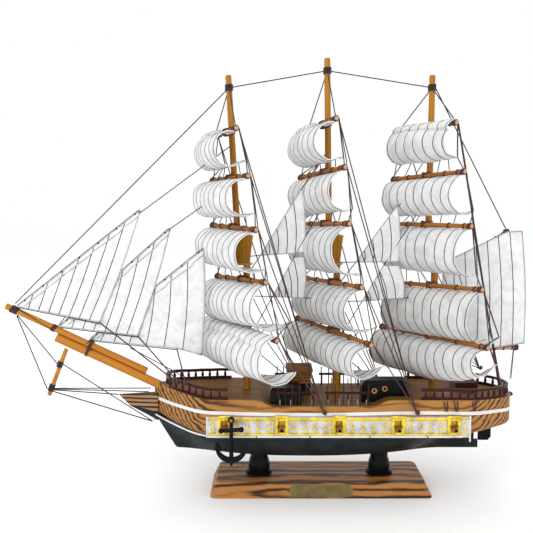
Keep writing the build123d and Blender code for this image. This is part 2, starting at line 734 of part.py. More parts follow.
def make_backstays():
    """Threads from the yard ends aft and down to the hull's sides."""
    threads = []
    for name, mast in MASTS.items():
        port_x, starboard_x, foot_y, foot_z = BACKSTAY_FEET[name]
        for side, foot_x in ((1, port_x), (-1, starboard_x)):
            for i, yard in enumerate(mast["yards"]):
                center, u, n, _ = yard_frame(mast, yard)
                start = center + u * side * (yard[1] - 1.5) + n * -(YARD_R + 1.4)
                end = (foot_x + i * 0.5, -side * (foot_y + i * FOOT_PITCH), foot_z)
                threads.append(spar(tuple(start), end, LINE_R))
    return threads


# ---------------------------------------------------------------- spanker

def make_spanker_spars():
    """Gaff and boom, each held to the mizzen by a ring of thread."""
    x = MASTS["mizzen"]["mast_x"]
    pieces = []
    for heel_z, end in ((GAFF_HEEL_Z, GAFF_END), (BOOM_HEEL_Z, BOOM_END)):
        pole = spar((x + MAST_R + SPAR_HEEL_GAP, 0, heel_z), end, SPANKER_SPAR_R)
        inner = MAST_R + YARD_GAP
        collar = ring((x, 0, heel_z), (0, 0, 1), inner, inner + LASHING_T, LASHING_H)
        pieces += [pole, collar - pole]
    return pieces


def make_spanker():
    """The spanker hangs on the port side of its gaff and boom and hides them both but for their ends."""
    return panel(SPANKER_CORNERS, -(SPANKER_SPAR_R + SAIL_GAP + SAIL_T / 2), SAIL_T)


# ---------------------------------------------------------------- build and save

def build_stand(lower_hull):
    screws = make_screws()
    board = make_base()
    posts = [make_post(-POST_X), make_post(POST_X)]
    for screw in screws:
        board = board - screw
        posts = [post - screw for post in posts]
        lower_hull = lower_hull - screw
    save(board, "base_board")
    save(make_plate(), "name_plate")
    save(posts[0], "bow_stand_post")
    save(posts[1], "stern_stand_post")
    save(merge(screws), "stand_screws")
    return lower_hull


def build_hull(poles):
    deck_block = side_block(sheer_edges(), 20.0)
    block = extrude(plan_face(), amount=120)
    lower_hull = build_stand(make_lower_hull())
    upper_hull = make_upper_hull()
    deck = make_deck()
    upper_hull = upper_hull - deck
    bowsprit, jib_boom, striker = make_bowsprit()
    stripe = make_stripe(block)
    beakhead = make_beakhead() - upper_hull - lower_hull - bowsprit - stripe
    cannons = [cannon(x, side) for side in (-1, 1) for x in CANNON_X]
    strips = [make_gun_strip(-1, block), make_gun_strip(1, block)]
    for pole in poles:
        upper_hull = upper_hull - pole
        deck = deck - pole
    upper_hull = upper_hull - bowsprit
    deck = deck - bowsprit
    upper_hull = upper_hull - cannons
    strips = [strip - cannons for strip in strips]
    save(lower_hull, "lower_hull")
    save(upper_hull, "upper_hull")
    save(deck, "deck_planking")
    save(beakhead, "beakhead")
    save(make_rudder(), "rudder")
    save(merge(strips), "gun_strips")
    save(merge(cannons), "cannons")
    save(stripe, "sheer_stripe")
    save(make_rail(bow_rail_plan, BOW_X, BOW_RAIL_X[1], deck_block), "bow_rail")
    save(make_rail(stern_rail_plan, STERN_RAIL_X, STERN_X + 5.0, deck_block), "stern_rail")
    save(bowsprit, "bowsprit")
    save(jib_boom, "jib_boom")
    save(striker - bowsprit, "dolphin_striker")


def make_bowsprit():
    jib_boom = spar(JIB_BOOM_TIP, JIB_BOOM_HEEL, JIB_BOOM_R - 0.2, JIB_BOOM_R)
    tip = Vector(*JIB_BOOM_TIP)
    heel = Vector(*JIB_BOOM_HEEL)
    run = (heel - tip).normalized()
    below = Vector(run.Z, 0, -run.X) * (JIB_BOOM_R + BOWSPRIT_R + 0.05)
    spar_heel = heel + below + run * ((BOWSPRIT_HEEL_X - heel.X - below.X) / run.X)
    spar_head = spar_heel - run * BOWSPRIT_LENGTH
    bowsprit = spar(tuple(spar_head), tuple(spar_heel), BOWSPRIT_R)
    striker = spar(STRIKER_FOOT, STRIKER_TOP, STRIKER_R)
    return bowsprit, jib_boom, striker


def build_fittings():
    deck_block = side_block(sheer_edges(), 20.0)
    save(make_house(), "deck_house")
    save(make_cabin() - deck_block, "deck_cabin")
    save(make_long_cabin() - deck_block, "long_cabin")
    save(merge(make_portholes()), "portholes")
    save(make_stern_hatch() - deck_block, "stern_hatch")
    save(merge(make_pins()), "deck_pins")
    save(make_anchor(-1), "port_anchor")
    save(make_anchor(1), "starboard_anchor")
    save(merge([make_anchor_hook(-1), make_anchor_hook(1)]), "anchor_hooks")


def build_rig(lower_masts, topmasts):
    nests = []
    for name, mast in MASTS.items():
        nests.append(make_nest(mast, [lower_masts[name], topmasts[name]]))
        save(merge([lower_masts[name], topmasts[name]]), name + "_mast")
        yards = [make_yard(mast, yard) for yard in mast["yards"]]
        save(merge(yards), name + "_yards")
        lines = make_lashings(mast, yards) + make_leech_lines(mast)
        save(merge(lines), name + "_yard_lines")
        for sail_name, yard in zip(SAIL_NAMES, mast["yards"]):
            save(make_square_sail(mast, yard), name + "_" + sail_name)
    save(merge(nests), "crows_nests")
    for name, (corners, y) in JIBS.items():
        save(panel(corners, y, SAIL_T), name)
    save(merge([panel(corners, 0.0, SAIL_T) for corners in STAYSAILS]), "staysails")
    save(merge(make_spanker_spars()), "spanker_spars")
    save(make_spanker(), "spanker")
    save(merge(make_stays()), "stays")
    save(merge(make_backstays()), "backstays")


def main():
    lower_masts = {name: make_lower_mast(mast) for name, mast in MASTS.items()}
    topmasts = {name: make_topmast(mast) for name, mast in MASTS.items()}
    build_hull(list(lower_masts.values()))
    build_fittings()
    build_rig(lower_masts, topmasts)


main()
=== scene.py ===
import itertools
import math

import bmesh
import bpy
import numpy as np
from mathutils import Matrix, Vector, noise


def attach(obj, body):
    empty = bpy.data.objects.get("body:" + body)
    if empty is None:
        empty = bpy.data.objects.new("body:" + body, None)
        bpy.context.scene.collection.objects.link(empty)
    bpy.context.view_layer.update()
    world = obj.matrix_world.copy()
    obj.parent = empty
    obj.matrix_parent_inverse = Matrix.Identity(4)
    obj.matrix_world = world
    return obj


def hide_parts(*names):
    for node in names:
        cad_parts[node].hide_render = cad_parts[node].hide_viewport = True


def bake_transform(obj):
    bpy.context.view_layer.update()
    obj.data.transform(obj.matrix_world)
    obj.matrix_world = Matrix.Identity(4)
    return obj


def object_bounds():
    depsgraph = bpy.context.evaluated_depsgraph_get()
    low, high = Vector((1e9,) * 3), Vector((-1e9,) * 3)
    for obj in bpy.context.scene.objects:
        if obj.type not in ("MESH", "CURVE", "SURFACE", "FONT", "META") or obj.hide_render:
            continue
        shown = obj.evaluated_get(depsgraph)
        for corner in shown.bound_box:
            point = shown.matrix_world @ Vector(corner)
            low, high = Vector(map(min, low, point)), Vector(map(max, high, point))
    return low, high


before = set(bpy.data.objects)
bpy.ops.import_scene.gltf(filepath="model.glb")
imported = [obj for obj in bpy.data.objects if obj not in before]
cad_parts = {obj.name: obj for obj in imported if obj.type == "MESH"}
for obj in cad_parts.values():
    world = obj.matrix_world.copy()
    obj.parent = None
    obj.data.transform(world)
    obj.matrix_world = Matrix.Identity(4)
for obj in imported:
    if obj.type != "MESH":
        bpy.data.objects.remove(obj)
CAD_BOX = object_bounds()
# Shapes are worked out in millimetres and scaled to the frame's metres when a piece is made.
MM = 0.001

# ---------------------------------------------------------------- camera, lights and floor

CAMERA_PLACE = (-0.0526, -0.7215, 0.2849)
CAMERA_TILT = 5.135
CAMERA_LENS = 49.98
SENSOR_WIDTH = 36.0
FLOOR_REACH = 6.0
FLOOR_DROP = 0.0002
# name, place, size and power of each light; all of them aim at the middle of the ship
LIGHTS = [("key", (-0.7, -1.3, 1.3), 0.9, 9.0), ("fill", (1.2, -0.9, 0.7), 1.2, 1.5),
          ("back", (0.3, 1.4, 1.1), 1.2, 3.0)]
LIGHT_AIM = Vector((0.0, 0.0, 0.2))


def make_camera():
    data = bpy.data.cameras.new("camera")
    data.sensor_width = SENSOR_WIDTH
    data.lens = CAMERA_LENS
    data.clip_end = 20.0
    camera = bpy.data.objects.new("camera", data)
    camera.location = CAMERA_PLACE
    camera.rotation_euler = (math.radians(90.0 - CAMERA_TILT), 0.0, 0.0)
    bpy.context.scene.collection.objects.link(camera)
    bpy.context.scene.camera = camera


def area_light(name, place, size, power):
    data = bpy.data.lights.new(name, "AREA")
    data.size = size
    data.energy = power
    light = bpy.data.objects.new(name, data)
    light.location = place
    light.rotation_euler = (LIGHT_AIM - Vector(place)).to_track_quat("-Z", "Y").to_euler()
    bpy.context.scene.collection.objects.link(light)


def make_stage():
    world = bpy.data.worlds.new("studio")
    world.use_nodes = True
    background = world.node_tree.nodes["Background"]
    background.inputs["Color"].default_value = (1.0, 1.0, 1.0, 1.0)
    background.inputs["Strength"].default_value = 1.0
    scene = bpy.context.scene
    scene.world = world
    scene.view_settings.view_transform = "Standard"
    for light in LIGHTS:
        area_light(*light)
    mesh = bpy.data.meshes.new("floor")
    corners = [(FLOOR_REACH * sx, FLOOR_REACH * sy, 0) for sx, sy in ((-1, -1), (1, -1), (1, 1), (-1, 1))]
    mesh.from_pydata(corners, [], [(0, 1, 2, 3)])
    floor = bpy.data.objects.new("floor", mesh)
    floor.location = (0.0, 0.0, CAD_BOX[0][2] - FLOOR_DROP)
    scene.collection.objects.link(floor)
    pale = Look("floor_paint", roughness=0.9)
    pale.surface.inputs["Base Color"].default_value = (0.99, 0.99, 0.99, 1.0)
    mesh.materials.append(pale.material)


# ---------------------------------------------------------------- shader helpers

class Value:
    """An output inside a material, which ordinary arithmetic joins to others with nodes."""

    def __init__(self, look, socket):
        self.look = look
        self.socket = socket

    def by(self, operation, other=0.0):
        return self.look.value("ShaderNodeMath", [(0, self), (1, other)], operation=operation)

    def __add__(self, other):
        return self.by("ADD", other)

    def __sub__(self, other):
        return self.by("SUBTRACT", other)

    def __mul__(self, other):
        return self.by("MULTIPLY", other)

    def __abs__(self):
        return self.by("ABSOLUTE")

    def __lt__(self, other):
        return self.by("LESS_THAN", other)

    def __gt__(self, other):
        return self.by("GREATER_THAN", other)


class Look:
    """A material with its constant surface values set, and short ways to add nodes to it."""

    def __init__(self, name, roughness, metallic=0.0, sheen=0.0, gloss=0.5):
        self.material = bpy.data.materials.new(name)
        self.material.use_nodes = True
        self.tree = self.material.node_tree
        self.surface = self.tree.nodes["Principled BSDF"]
        self.surface.inputs["Roughness"].default_value = roughness
        self.surface.inputs["Metallic"].default_value = metallic
        self.surface.inputs["Sheen Weight"].default_value = sheen
        self.surface.inputs["Specular IOR Level"].default_value = gloss

    def node(self, kind, inputs=(), **settings):
        """A node with its settings, and each (socket, constant or Value) of inputs set or joined."""
        node = self.tree.nodes.new(kind)
        for key, value in settings.items():
            setattr(node, key, value)
        for socket, value in inputs:
            if isinstance(value, Value):
                self.tree.links.new(value.socket, node.inputs[socket])
            else:
                node.inputs[socket].default_value = value
        return node

    def value(self, kind, inputs=(), output=0, **settings):
        return Value(self, self.node(kind, inputs, **settings).outputs[output])

    def place(self):
        return self.value("ShaderNodeTexCoord", output="Object")

    def place_parts(self):
        return [Value(self, part) for part in self.node("ShaderNodeSeparateXYZ", [(0, self.place())]).outputs]

    def vector(self, operation, a, b=(0, 0, 0), output=0):
        return self.value("ShaderNodeVectorMath", [(0, a), (1, b)], output, operation=operation)

    def scaled(self, vector, amount):
        return self.value("ShaderNodeVectorMath", [(0, vector), ("Scale", amount)], operation="SCALE")

    def drawn_out(self, direction, across, lengthwise):
        """Coordinates that run slowly along a direction and fast across it, as wood grain does."""
        place = self.place()
        part = self.scaled(direction, self.vector("DOT_PRODUCT", place, direction, "Value"))
        rest = self.vector("SUBTRACT", place, part)
        return self.vector("ADD", self.scaled(rest, across), self.scaled(part, lengthwise))

    def noise(self, vector, scale=1.0, detail=3.0, distortion=0.0):
        inputs = [("Vector", vector), ("Scale", scale), ("Detail", detail), ("Distortion", distortion)]
        return self.value("ShaderNodeTexNoise", inputs, "Fac")

    def grain(self, direction, fine, broad, broad_detail=2.0, twist=0.0):
        """Fine pores and broad tone changes, both drawn out along a direction."""
        return (self.noise(self.drawn_out(direction, *fine), detail=4.0),
                self.noise(self.drawn_out(direction, *broad), detail=broad_detail, distortion=twist))

    def ramp(self, value, stops):
        """Colours along a value, as (position, (r, g, b)) pairs."""
        node = self.node("ShaderNodeValToRGB", [(0, value)])
        points = node.color_ramp.elements
        while len(points) < len(stops):
            points.new(0.5)
        for point, (position, colour) in zip(points, stops):
            point.position = position
            point.color = (*colour, 1.0)
        return Value(self, node.outputs[0])

    def mix(self, share, a, b):
        return self.value("ShaderNodeMix", [(0, share), (6, a), (7, b)], 2, data_type="RGBA")

    def set_roughness(self, value):
        self.tree.links.new(value.socket, self.surface.inputs["Roughness"])

    def finish(self, colour, height, strength, distance):
        """Joins a colour and a bumped relief to the surface, and gives the material."""
        inputs = [("Height", height), ("Strength", strength), ("Distance", distance)]
        relief = self.value("ShaderNodeBump", inputs)
        self.tree.links.new(relief.socket, self.surface.inputs["Normal"])
        self.tree.links.new(colour.socket, self.surface.inputs["Base Color"])
        return self.material


def waves(phase, period):
    """A wave between 0 and 1 along a phase."""
    return (phase * (math.tau / period)).by("SINE") * 0.5 + 0.5


def between(a, b, share):
    """A colour that lies a share of the way from a to b."""
    return tuple((1.0 - share) * p + share * q for p, q in zip(a, b))


# ---------------------------------------------------------------- materials

ALONG_HULL = (1, 0, 0)
BLACK_STAIN = (0.008, 0.007, 0.006, 1.0)


def plain_wood(name, light, dark, direction, roughness=0.5, gloss=0.15):
    """Turned softwood with fine pores along its length, broad tone changes and paler sawn ends."""
    look = Look(name, roughness, gloss=gloss)
    fibre, broad = look.grain(direction, (900.0, 30.0), (160.0, 9.0), twist=0.6)
    colour = look.ramp(fibre * 0.5 + broad * 0.5, [(0.34, dark), (0.62, light)])
    facing = look.value("ShaderNodeNewGeometry", output="Normal")
    sawn = abs(look.vector("DOT_PRODUCT", facing, direction, "Value")) > 0.8
    end_grain = [min(1.0, c + 0.13) for c in light]
    return look.finish(look.mix(sawn, colour, (*end_grain, 1.0)), fibre, 0.25, 0.0002)


def burnt_wood(name, phase_of, light, dark, wobble, period, scorched=None):
    """Scorched fir: dark bands follow a phase in metres, shaken by noise stretched along the hull."""
    look = Look(name, 0.5, gloss=0.2)
    shake = look.noise(look.drawn_out(ALONG_HULL, 70.0, 16.0))
    wave = waves(phase_of(look) + (shake - 0.5) * wobble, period)
    fibre, broad = look.grain(ALONG_HULL, (1100.0, 40.0), (190.0, 14.0), broad_detail=3.0)
    value = wave + (fibre * 0.5 + broad * 0.9 - 0.7)
    colour = look.ramp(value, [(0.02, dark), (0.36, between(light, dark, 0.4)), (0.72, light)])
    if scorched is not None:
        mild = look.ramp(value, [(0.0, between(light, dark, 0.65)), (0.45, light)])
        colour = look.mix(scorched(look), mild, colour)
    return look.finish(colour, value, 0.2, 0.0003)


def hull_phase(look):
    """Grain planes that lean inwards towards the deck, the same on both sides."""
    _, y, z = look.place_parts()
    return abs(y) * 0.86 + z * 0.5


def hull_ends(look):
    """1 at the bow and stern, where the scorching is strong, and near 0 amidships."""
    off_middle = abs(look.place_parts()[0] - 0.02)
    return look.value("ShaderNodeMapRange", [("Value", off_middle), ("From Min", 0.09), ("From Max", 0.14),
                                             ("To Min", 0.12), ("To Max", 1.0)])


def board_phase(look):
    """Long streaks that bend round a knot in the front of the base board."""
    x, y, z = look.place_parts()
    near_x = (x - 0.062) * 0.045
    near_y = (y + 0.033) * 0.55
    near_z = z - 0.004
    return (near_x * near_x + near_y * near_y + near_z * near_z).by("SQRT")


def beak_wood(name, light, dark, black):
    """Level bands of scorched wood above a slanted line and black paint below it."""
    look = Look(name, 0.5, gloss=0.2)
    x, _, z = look.place_parts()
    shake = look.noise(look.drawn_out(ALONG_HULL, 90.0, 20.0), detail=2.0)
    wave = waves(z + shake * 0.004, 0.0042)
    painted = z < (x + 0.193) * -0.227 + 0.0835
    colour = look.mix(painted, look.ramp(wave, [(0.2, dark), (0.6, light)]), (*black, 1.0))
    return look.finish(colour, wave, 0.2, 0.0003)


def plank_wood(name, light, dark, gap, axis, pitch, black_below=None):
    """Fine-grained wood with dark caulked seams across one axis, painted black below a height."""
    look = Look(name, 0.6, gloss=0.12)
    fibre, broad = look.grain(ALONG_HULL, (1100.0, 45.0), (210.0, 12.0))
    parts = look.place_parts()
    seam = ((parts[axis] + 1.0) * (1.0 / pitch)).by("FRACT") < 0.17
    board = look.ramp(fibre * 0.55 + broad * 0.45, [(0.36, dark), (0.6, light)])
    colour = look.mix(seam, board, (*gap, 1.0))
    if black_below is not None:
        colour = look.mix(parts[2] < black_below, colour, BLACK_STAIN)
    return look.finish(colour, fibre * 0.2 - seam, 0.35, 0.0003)


def paint(name, colour, second, roughness, gloss=0.3, brush=600.0):
    """Brushed paint: two close tones and a slightly uneven film."""
    look = Look(name, roughness, gloss=gloss)
    cloud = look.noise(look.place(), 60.0)
    film = look.noise(look.place(), brush, 2.0)
    look.set_roughness(film * 0.2 + (roughness - 0.1))
    return look.finish(look.ramp(cloud, [(0.35, colour), (0.65, second)]), film, 0.12, 0.0002)


def metal(name, light, dark, roughness, metallic=1.0, marks=500.0, gloss=0.5):
    """Metal or metal-coloured plastic with tarnish in broad patches and fine scratches."""
    look = Look(name, roughness, metallic=metallic, gloss=gloss)
    patch = look.noise(look.place(), 140.0, 4.0)
    scratch = look.noise(look.drawn_out(ALONG_HULL, marks * 3, marks * 0.2), detail=2.0)
    look.set_roughness(scratch * 0.25 + (roughness - 0.12))
    return look.finish(look.ramp(patch, [(0.3, dark), (0.6, light)]), scratch, 0.1, 0.0001)


def cloth(name, light, dark):
    """Stiffened white cotton: a fine weave, and soft grey creases that are painted shade."""
    look = Look(name, 0.85, sheen=0.15)
    # painted shade: the crease noise greys the cloth's colour in patches, and the same noise also bumps the
    # cloth
    crease_and_shade = look.noise(look.place(), 85.0, 4.0, 0.8)
    across, _, down = look.place_parts()
    weave = (across * 9000.0).by("SINE") * (down * 9000.0).by("SINE")
    return look.finish(look.ramp(crease_and_shade, [(0.32, dark), (0.6, light)]), crease_and_shade * 2.0 + weave, 0.25, 0.0002)


def yarn(name, light, dark):
    """Twisted thread: soft fibres with darker patches, painted shade for the hollows between the plies."""
    look = Look(name, 0.8, sheen=0.2)
    fibre = look.noise(look.place(), 1800.0)
    # painted shade: the fibre noise darkens the thread's colour in patches, and it also bumps the thread
    return look.finish(look.ramp(fibre, [(0.35, dark), (0.65, light)]), fibre, 0.4, 0.0002)


BRACE = math.radians(25.0)
YARD_WAY = (math.sin(BRACE), -math.cos(BRACE), 0.0)
JIB_WAY = (0.905, 0.0, -0.425)
MATERIALS = {
    "board": burnt_wood("varnished_board", board_phase, (0.43, 0.18, 0.045), (0.035, 0.014, 0.006),
                        0.011, 0.0058),
    "hull": burnt_wood("scorched_hull", hull_phase, (0.41, 0.19, 0.047), (0.040, 0.018, 0.008),
                       0.010, 0.0036, hull_ends),
    "beak": beak_wood("beak_wood", (0.36, 0.20, 0.09), (0.03, 0.018, 0.012), (0.012, 0.015, 0.015)),
    # the deck's tones are darker than the planks' own colour: part wood colour, part painted shade from the
    # bulwarks, houses and sails
    "deck": plank_wood("deck_planks", (0.27, 0.125, 0.036), (0.12, 0.052, 0.014), (0.016, 0.008, 0.004), 1,
                       0.0034),
    "house": plank_wood("house_planks", (0.30, 0.13, 0.028), (0.15, 0.058, 0.013), (0.025, 0.010, 0.004), 2,
                        0.003, 0.104),
    "mast": plain_wood("mast_wood", (0.47, 0.20, 0.022), (0.28, 0.105, 0.010), (0, 0, 1)),
    "yard": plain_wood("yard_wood", (0.42, 0.165, 0.032), (0.25, 0.085, 0.016), YARD_WAY),
    "sprit": plain_wood("sprit_wood", (0.54, 0.215, 0.028), (0.36, 0.125, 0.014), JIB_WAY),
    "nest": plain_wood("nest_wood", (0.47, 0.215, 0.012), (0.29, 0.12, 0.006), (0, 0, 1)),
    "pale": plain_wood("pale_wood", (0.50, 0.30, 0.12), (0.34, 0.19, 0.075), (0, 0, 1), 0.45, 0.3),
    "rail": plain_wood("rail_wood", (0.062, 0.014, 0.010), (0.022, 0.006, 0.005), (1, 0, 0), 0.45, 0.12),
    "black": paint("black_gloss", (0.004, 0.004, 0.004), (0.007, 0.007, 0.007), 0.3, 0.1),
    "lower": paint("lower_hull_paint", (0.011, 0.014, 0.014), (0.020, 0.025, 0.025), 0.45, 0.1),
    "white": paint("white_trim", (0.70, 0.71, 0.72), (0.80, 0.81, 0.81), 0.5),
    "iron": paint("anchor_paint", (0.004, 0.004, 0.005), (0.009, 0.009, 0.010), 0.42, 0.1, 900.0),
    "gold": metal("gold_foil", (0.95, 0.74, 0.08), (0.62, 0.42, 0.03), 0.26, 0.6),
    "silver": metal("silver_foil", (0.66, 0.66, 0.71), (0.46, 0.46, 0.50), 0.30, 0.6),
    "amber": metal("amber_lacquer", (0.55, 0.27, 0.015), (0.30, 0.13, 0.007), 0.3, 0.5),
    "brass": metal("plate_brass", (0.19, 0.14, 0.058), (0.13, 0.092, 0.036), 0.5, 0.1, 900.0, 0.15),
    "gun": metal("cannon_brass", (0.46, 0.21, 0.05), (0.22, 0.085, 0.02), 0.32, 0.7),
    "copper": metal("copper", (0.50, 0.22, 0.06), (0.30, 0.12, 0.03), 0.35, 0.6),
    "steel": metal("steel", (0.38, 0.38, 0.39), (0.22, 0.22, 0.24), 0.3),
    "sail": cloth("sail_cloth", (0.80, 0.80, 0.80), (0.64, 0.65, 0.66)),
    # a darker copy of the sail cloth, as painted shade, for the sails in SHADED_SAILS
    "shaded_sail": cloth("painted_shade_sail_cloth", (0.74, 0.74, 0.73), (0.60, 0.60, 0.60)),
    "jib": cloth("jib_cloth", (0.86, 0.86, 0.87), (0.70, 0.71, 0.72)),
    # a grey copy of the cloth for the turned luff: painted shade in the fold
    "hem": cloth("painted_shade_hem_cloth", (0.50, 0.51, 0.50), (0.40, 0.41, 0.41)),
    "seam": yarn("seam_thread", (0.014, 0.014, 0.016), (0.006, 0.006, 0.007)),
    "dark": yarn("black_thread", (0.022, 0.012, 0.011), (0.007, 0.005, 0.005)),
    "brown": yarn("brown_thread", (0.085, 0.022, 0.014), (0.030, 0.009, 0.007)),
}


# ---------------------------------------------------------------- mesh helpers, in millimetres

def crosswise(way, pole=2):
    """Two directions square to a unit direction, the first of them also square to an axis."""
    guess = np.eye(3)[pole if abs(way[pole]) < 0.9 else 0]
    side = unit(np.cross(way, guess))
    return side, np.cross(way, side)


def around(angles, side, other):
    """Points at angles round the ellipse that has side and other as its half axes."""
    return np.cos(angles)[:, None] * side + np.sin(angles)[:, None] * other


def unit(vector):
    vector = np.asarray(vector, float)
    return vector / np.linalg.norm(vector)


def grid_faces(rows, columns, round_rows, round_columns):
    """Quads between the points of a grid, whose rows or columns may join up round."""
    faces = []
    for i in range(rows if round_rows else rows - 1):
        a, b = i * columns, (i + 1) % rows * columns
        for j in range(columns if round_columns else columns - 1):
            k = (j + 1) % columns
            faces.append((a + j, a + k, b + k, b + j))
    return faces


def node_points(node):
    """A CAD node's points, in millimetres."""
    return np.array([v.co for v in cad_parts[node].data.vertices]) / MM


class Build:
    """Gathers mesh parts in millimetres, then makes one piece of them."""

    def __init__(self):
        self.points = []
        self.faces = []
        self.count = 0

    def add(self, points, faces):
        start = self.count
        self.points.append(np.asarray(points, float).reshape(-1, 3))
        self.faces.extend([tuple(start + i for i in face) for face in faces])
        self.count += len(self.points[-1])

    def tube(self, line, radius, sides=8, closed=False):
        """A round tube along a line, with radius a number or one for each point."""
        line = np.asarray(line, float)
        n = len(line)
        if closed:
            tangent = np.roll(line, -1, 0) - np.roll(line, 1, 0)
        else:
            tangent = np.gradient(line, axis=0)
        tangent /= np.linalg.norm(tangent, axis=1)[:, None] + 1e-12
        side = np.zeros((n, 3))
        guess = np.array([0.0, 0.0, 1.0]) if abs(tangent[0][2]) < 0.8 else np.array([1.0, 0.0, 0.0])
        for i in range(n):
            guess = guess - tangent[i] * guess.dot(tangent[i])
            guess /= np.linalg.norm(guess) + 1e-12
            side[i] = guess
        other = np.cross(tangent, side)
        radii = np.broadcast_to(np.asarray(radius, float), (n,))[:, None, None]
        turn = np.linspace(0, math.tau, sides, endpoint=False)
        ring = around(turn, side[:, None, :], other[:, None, :])
        points = (line[:, None, :] + radii * ring).reshape(-1, 3)
        faces = grid_faces(n, sides, closed, True)
        if not closed:
            faces.extend([range(sides - 1, -1, -1), range((n - 1) * sides, n * sides)])
        self.add(points, faces)

    def rope(self, start, end, radius, pitch=3.2):
        """Two plies twisted round each other from start to end."""
        start, end = np.asarray(start, float), np.asarray(end, float)
        length = float(np.linalg.norm(end - start))
        t = np.linspace(0, 1, max(6, int(length / pitch * 7)))
        core = start + (end - start) * t[:, None]
        side, other = crosswise((end - start) / length)
        angle = t * length / pitch * math.tau
        swing = around(angle, side, other) * radius * 0.52
        self.tube(core + swing, radius * 0.55, 6)
        self.tube(core - swing, radius * 0.55, 6)

    def thread(self, start, end, radius):
        """A single thin thread."""
        start, end = np.asarray(start, float), np.asarray(end, float)
        self.tube(start + (end - start) * np.linspace(0, 1, 12)[:, None], radius, 8)

    def wraps(self, center, axis, radius, thread_r, turns, pitch=None):
        """Turns of thread wound round a round bar."""
        axis = unit(axis)
        side, other = crosswise(axis)
        angle = np.linspace(0, math.tau * turns, int(18 * turns) + 1)
        rise = (angle / math.tau - turns / 2) * (pitch or thread_r * 2.1)
        line = np.asarray(center, float) + rise[:, None] * axis
        self.tube(line + radius * around(angle, side, other), thread_r, 7)

    def lathe(self, profile, center, sides=32, axis=(0, 0, 1)):
        """A solid of revolution from (radius, height) pairs that start and end on the axis."""
        axis = unit(axis)
        side, other = crosswise(axis, 1)
        turn = np.linspace(0, math.tau, sides, endpoint=False)
        ring = around(turn, side, other)
        center = np.asarray(center, float)
        points = [center + axis * profile[0][1]]
        for r, h in profile[1:-1]:
            points.extend(center + axis * h + ring * r)
        points.append(center + axis * profile[-1][1])
        rows = len(profile) - 2
        last_row = 1 + (rows - 1) * sides
        faces = [tuple(1 + i for i in face) for face in grid_faces(rows, sides, False, True)]
        for k in range(sides):
            m = (k + 1) % sides
            faces.extend([(0, 1 + m, 1 + k), (last_row + k, last_row + m, last_row + sides)])
        self.add(points, faces)

    def block(self, low, high, edge=0.3):
        """A box with its edges cut, so that they catch the light."""
        low, high = np.asarray(low, float), np.asarray(high, float)
        half = (high - low) / 2
        edge = min(edge, *(half * 0.45))
        cut = bmesh.new()
        for sign in itertools.product((-1, 1), repeat=3):
            for along in np.eye(3):
                cut.verts.new((low + high) / 2 + np.array(sign) * (half - edge * (1.0 - along)))
        bmesh.ops.convex_hull(cut, input=cut.verts)
        cut.verts.index_update()
        self.add([v.co for v in cut.verts], [[v.index for v in face.verts] for face in cut.faces])
        cut.free()

    def piece(self, name, material, body, slot, replaces=(), smooth=True):
        mesh = bpy.data.meshes.new(name)
        points = np.concatenate(self.points) * MM
        mesh.from_pydata(points.tolist(), [], self.faces)
        mesh.validate()
        mesh.materials.append(MATERIALS[material])
        clean = bmesh_of(mesh)
        bmesh.ops.recalc_face_normals(clean, faces=clean.faces)
        clean.to_mesh(mesh)
        clean.free()
        for polygon in mesh.polygons:
            polygon.use_smooth = smooth
        obj = bpy.data.objects.new(name, mesh)
        bpy.context.scene.collection.objects.link(obj)
        if body:
            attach(obj, body)
        if replaces:
            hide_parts(*replaces)
        return obj


def bmesh_of(mesh):
    clean = bmesh.new()
    clean.from_mesh(mesh)
    return clean


# ---------------------------------------------------------------- rig layout, in millimetres

MAST_R = 3.7
TOPMAST_R = 3.2
YARD_R = 2.3
YARD_GAP = 0.6
HEEL_Z = 226.0
NEST_TOP_Z = 250.8
SAIL_NAMES = ("royal", "topgallant", "upper_topsail", "lower_topsail", "course")
# lower mast x, topmast heel x, tip x, tip z, then for each yard: height, half length, brace angle, cant
# angle and shift to port
MASTS = {
    "fore": (-72.0, -79.4, -89.2, 404.0,
             [(350, 40, 18, 0, -1), (306, 47, 25, 0, 1.5), (259, 54, 26, -2, 3), (208, 62, 25, 2.5, -3),
              (160, 79, 25.5, 0.5, 2)]),
    "main": (16.3, 8.6, 5.4, 420.0,
             [(357, 40, 16, 3, -1), (311.5, 47, 24, 4, -3), (262, 54, 22, 1.5, 0), (205, 62, 22, 1.5, 0),
              (157.5, 79, 22.5, -0.5, 0)]),
    "mizzen": (112.0, 104.9, 106.2, 404.0,
               [(355, 41, 28.5, 0.5, 1), (308, 50, 31, 3, 2), (261, 55, 33, 0.5, 5), (202, 62, 32, 2, 5),
                (152, 79, 28, 1.5, 2)]),
}
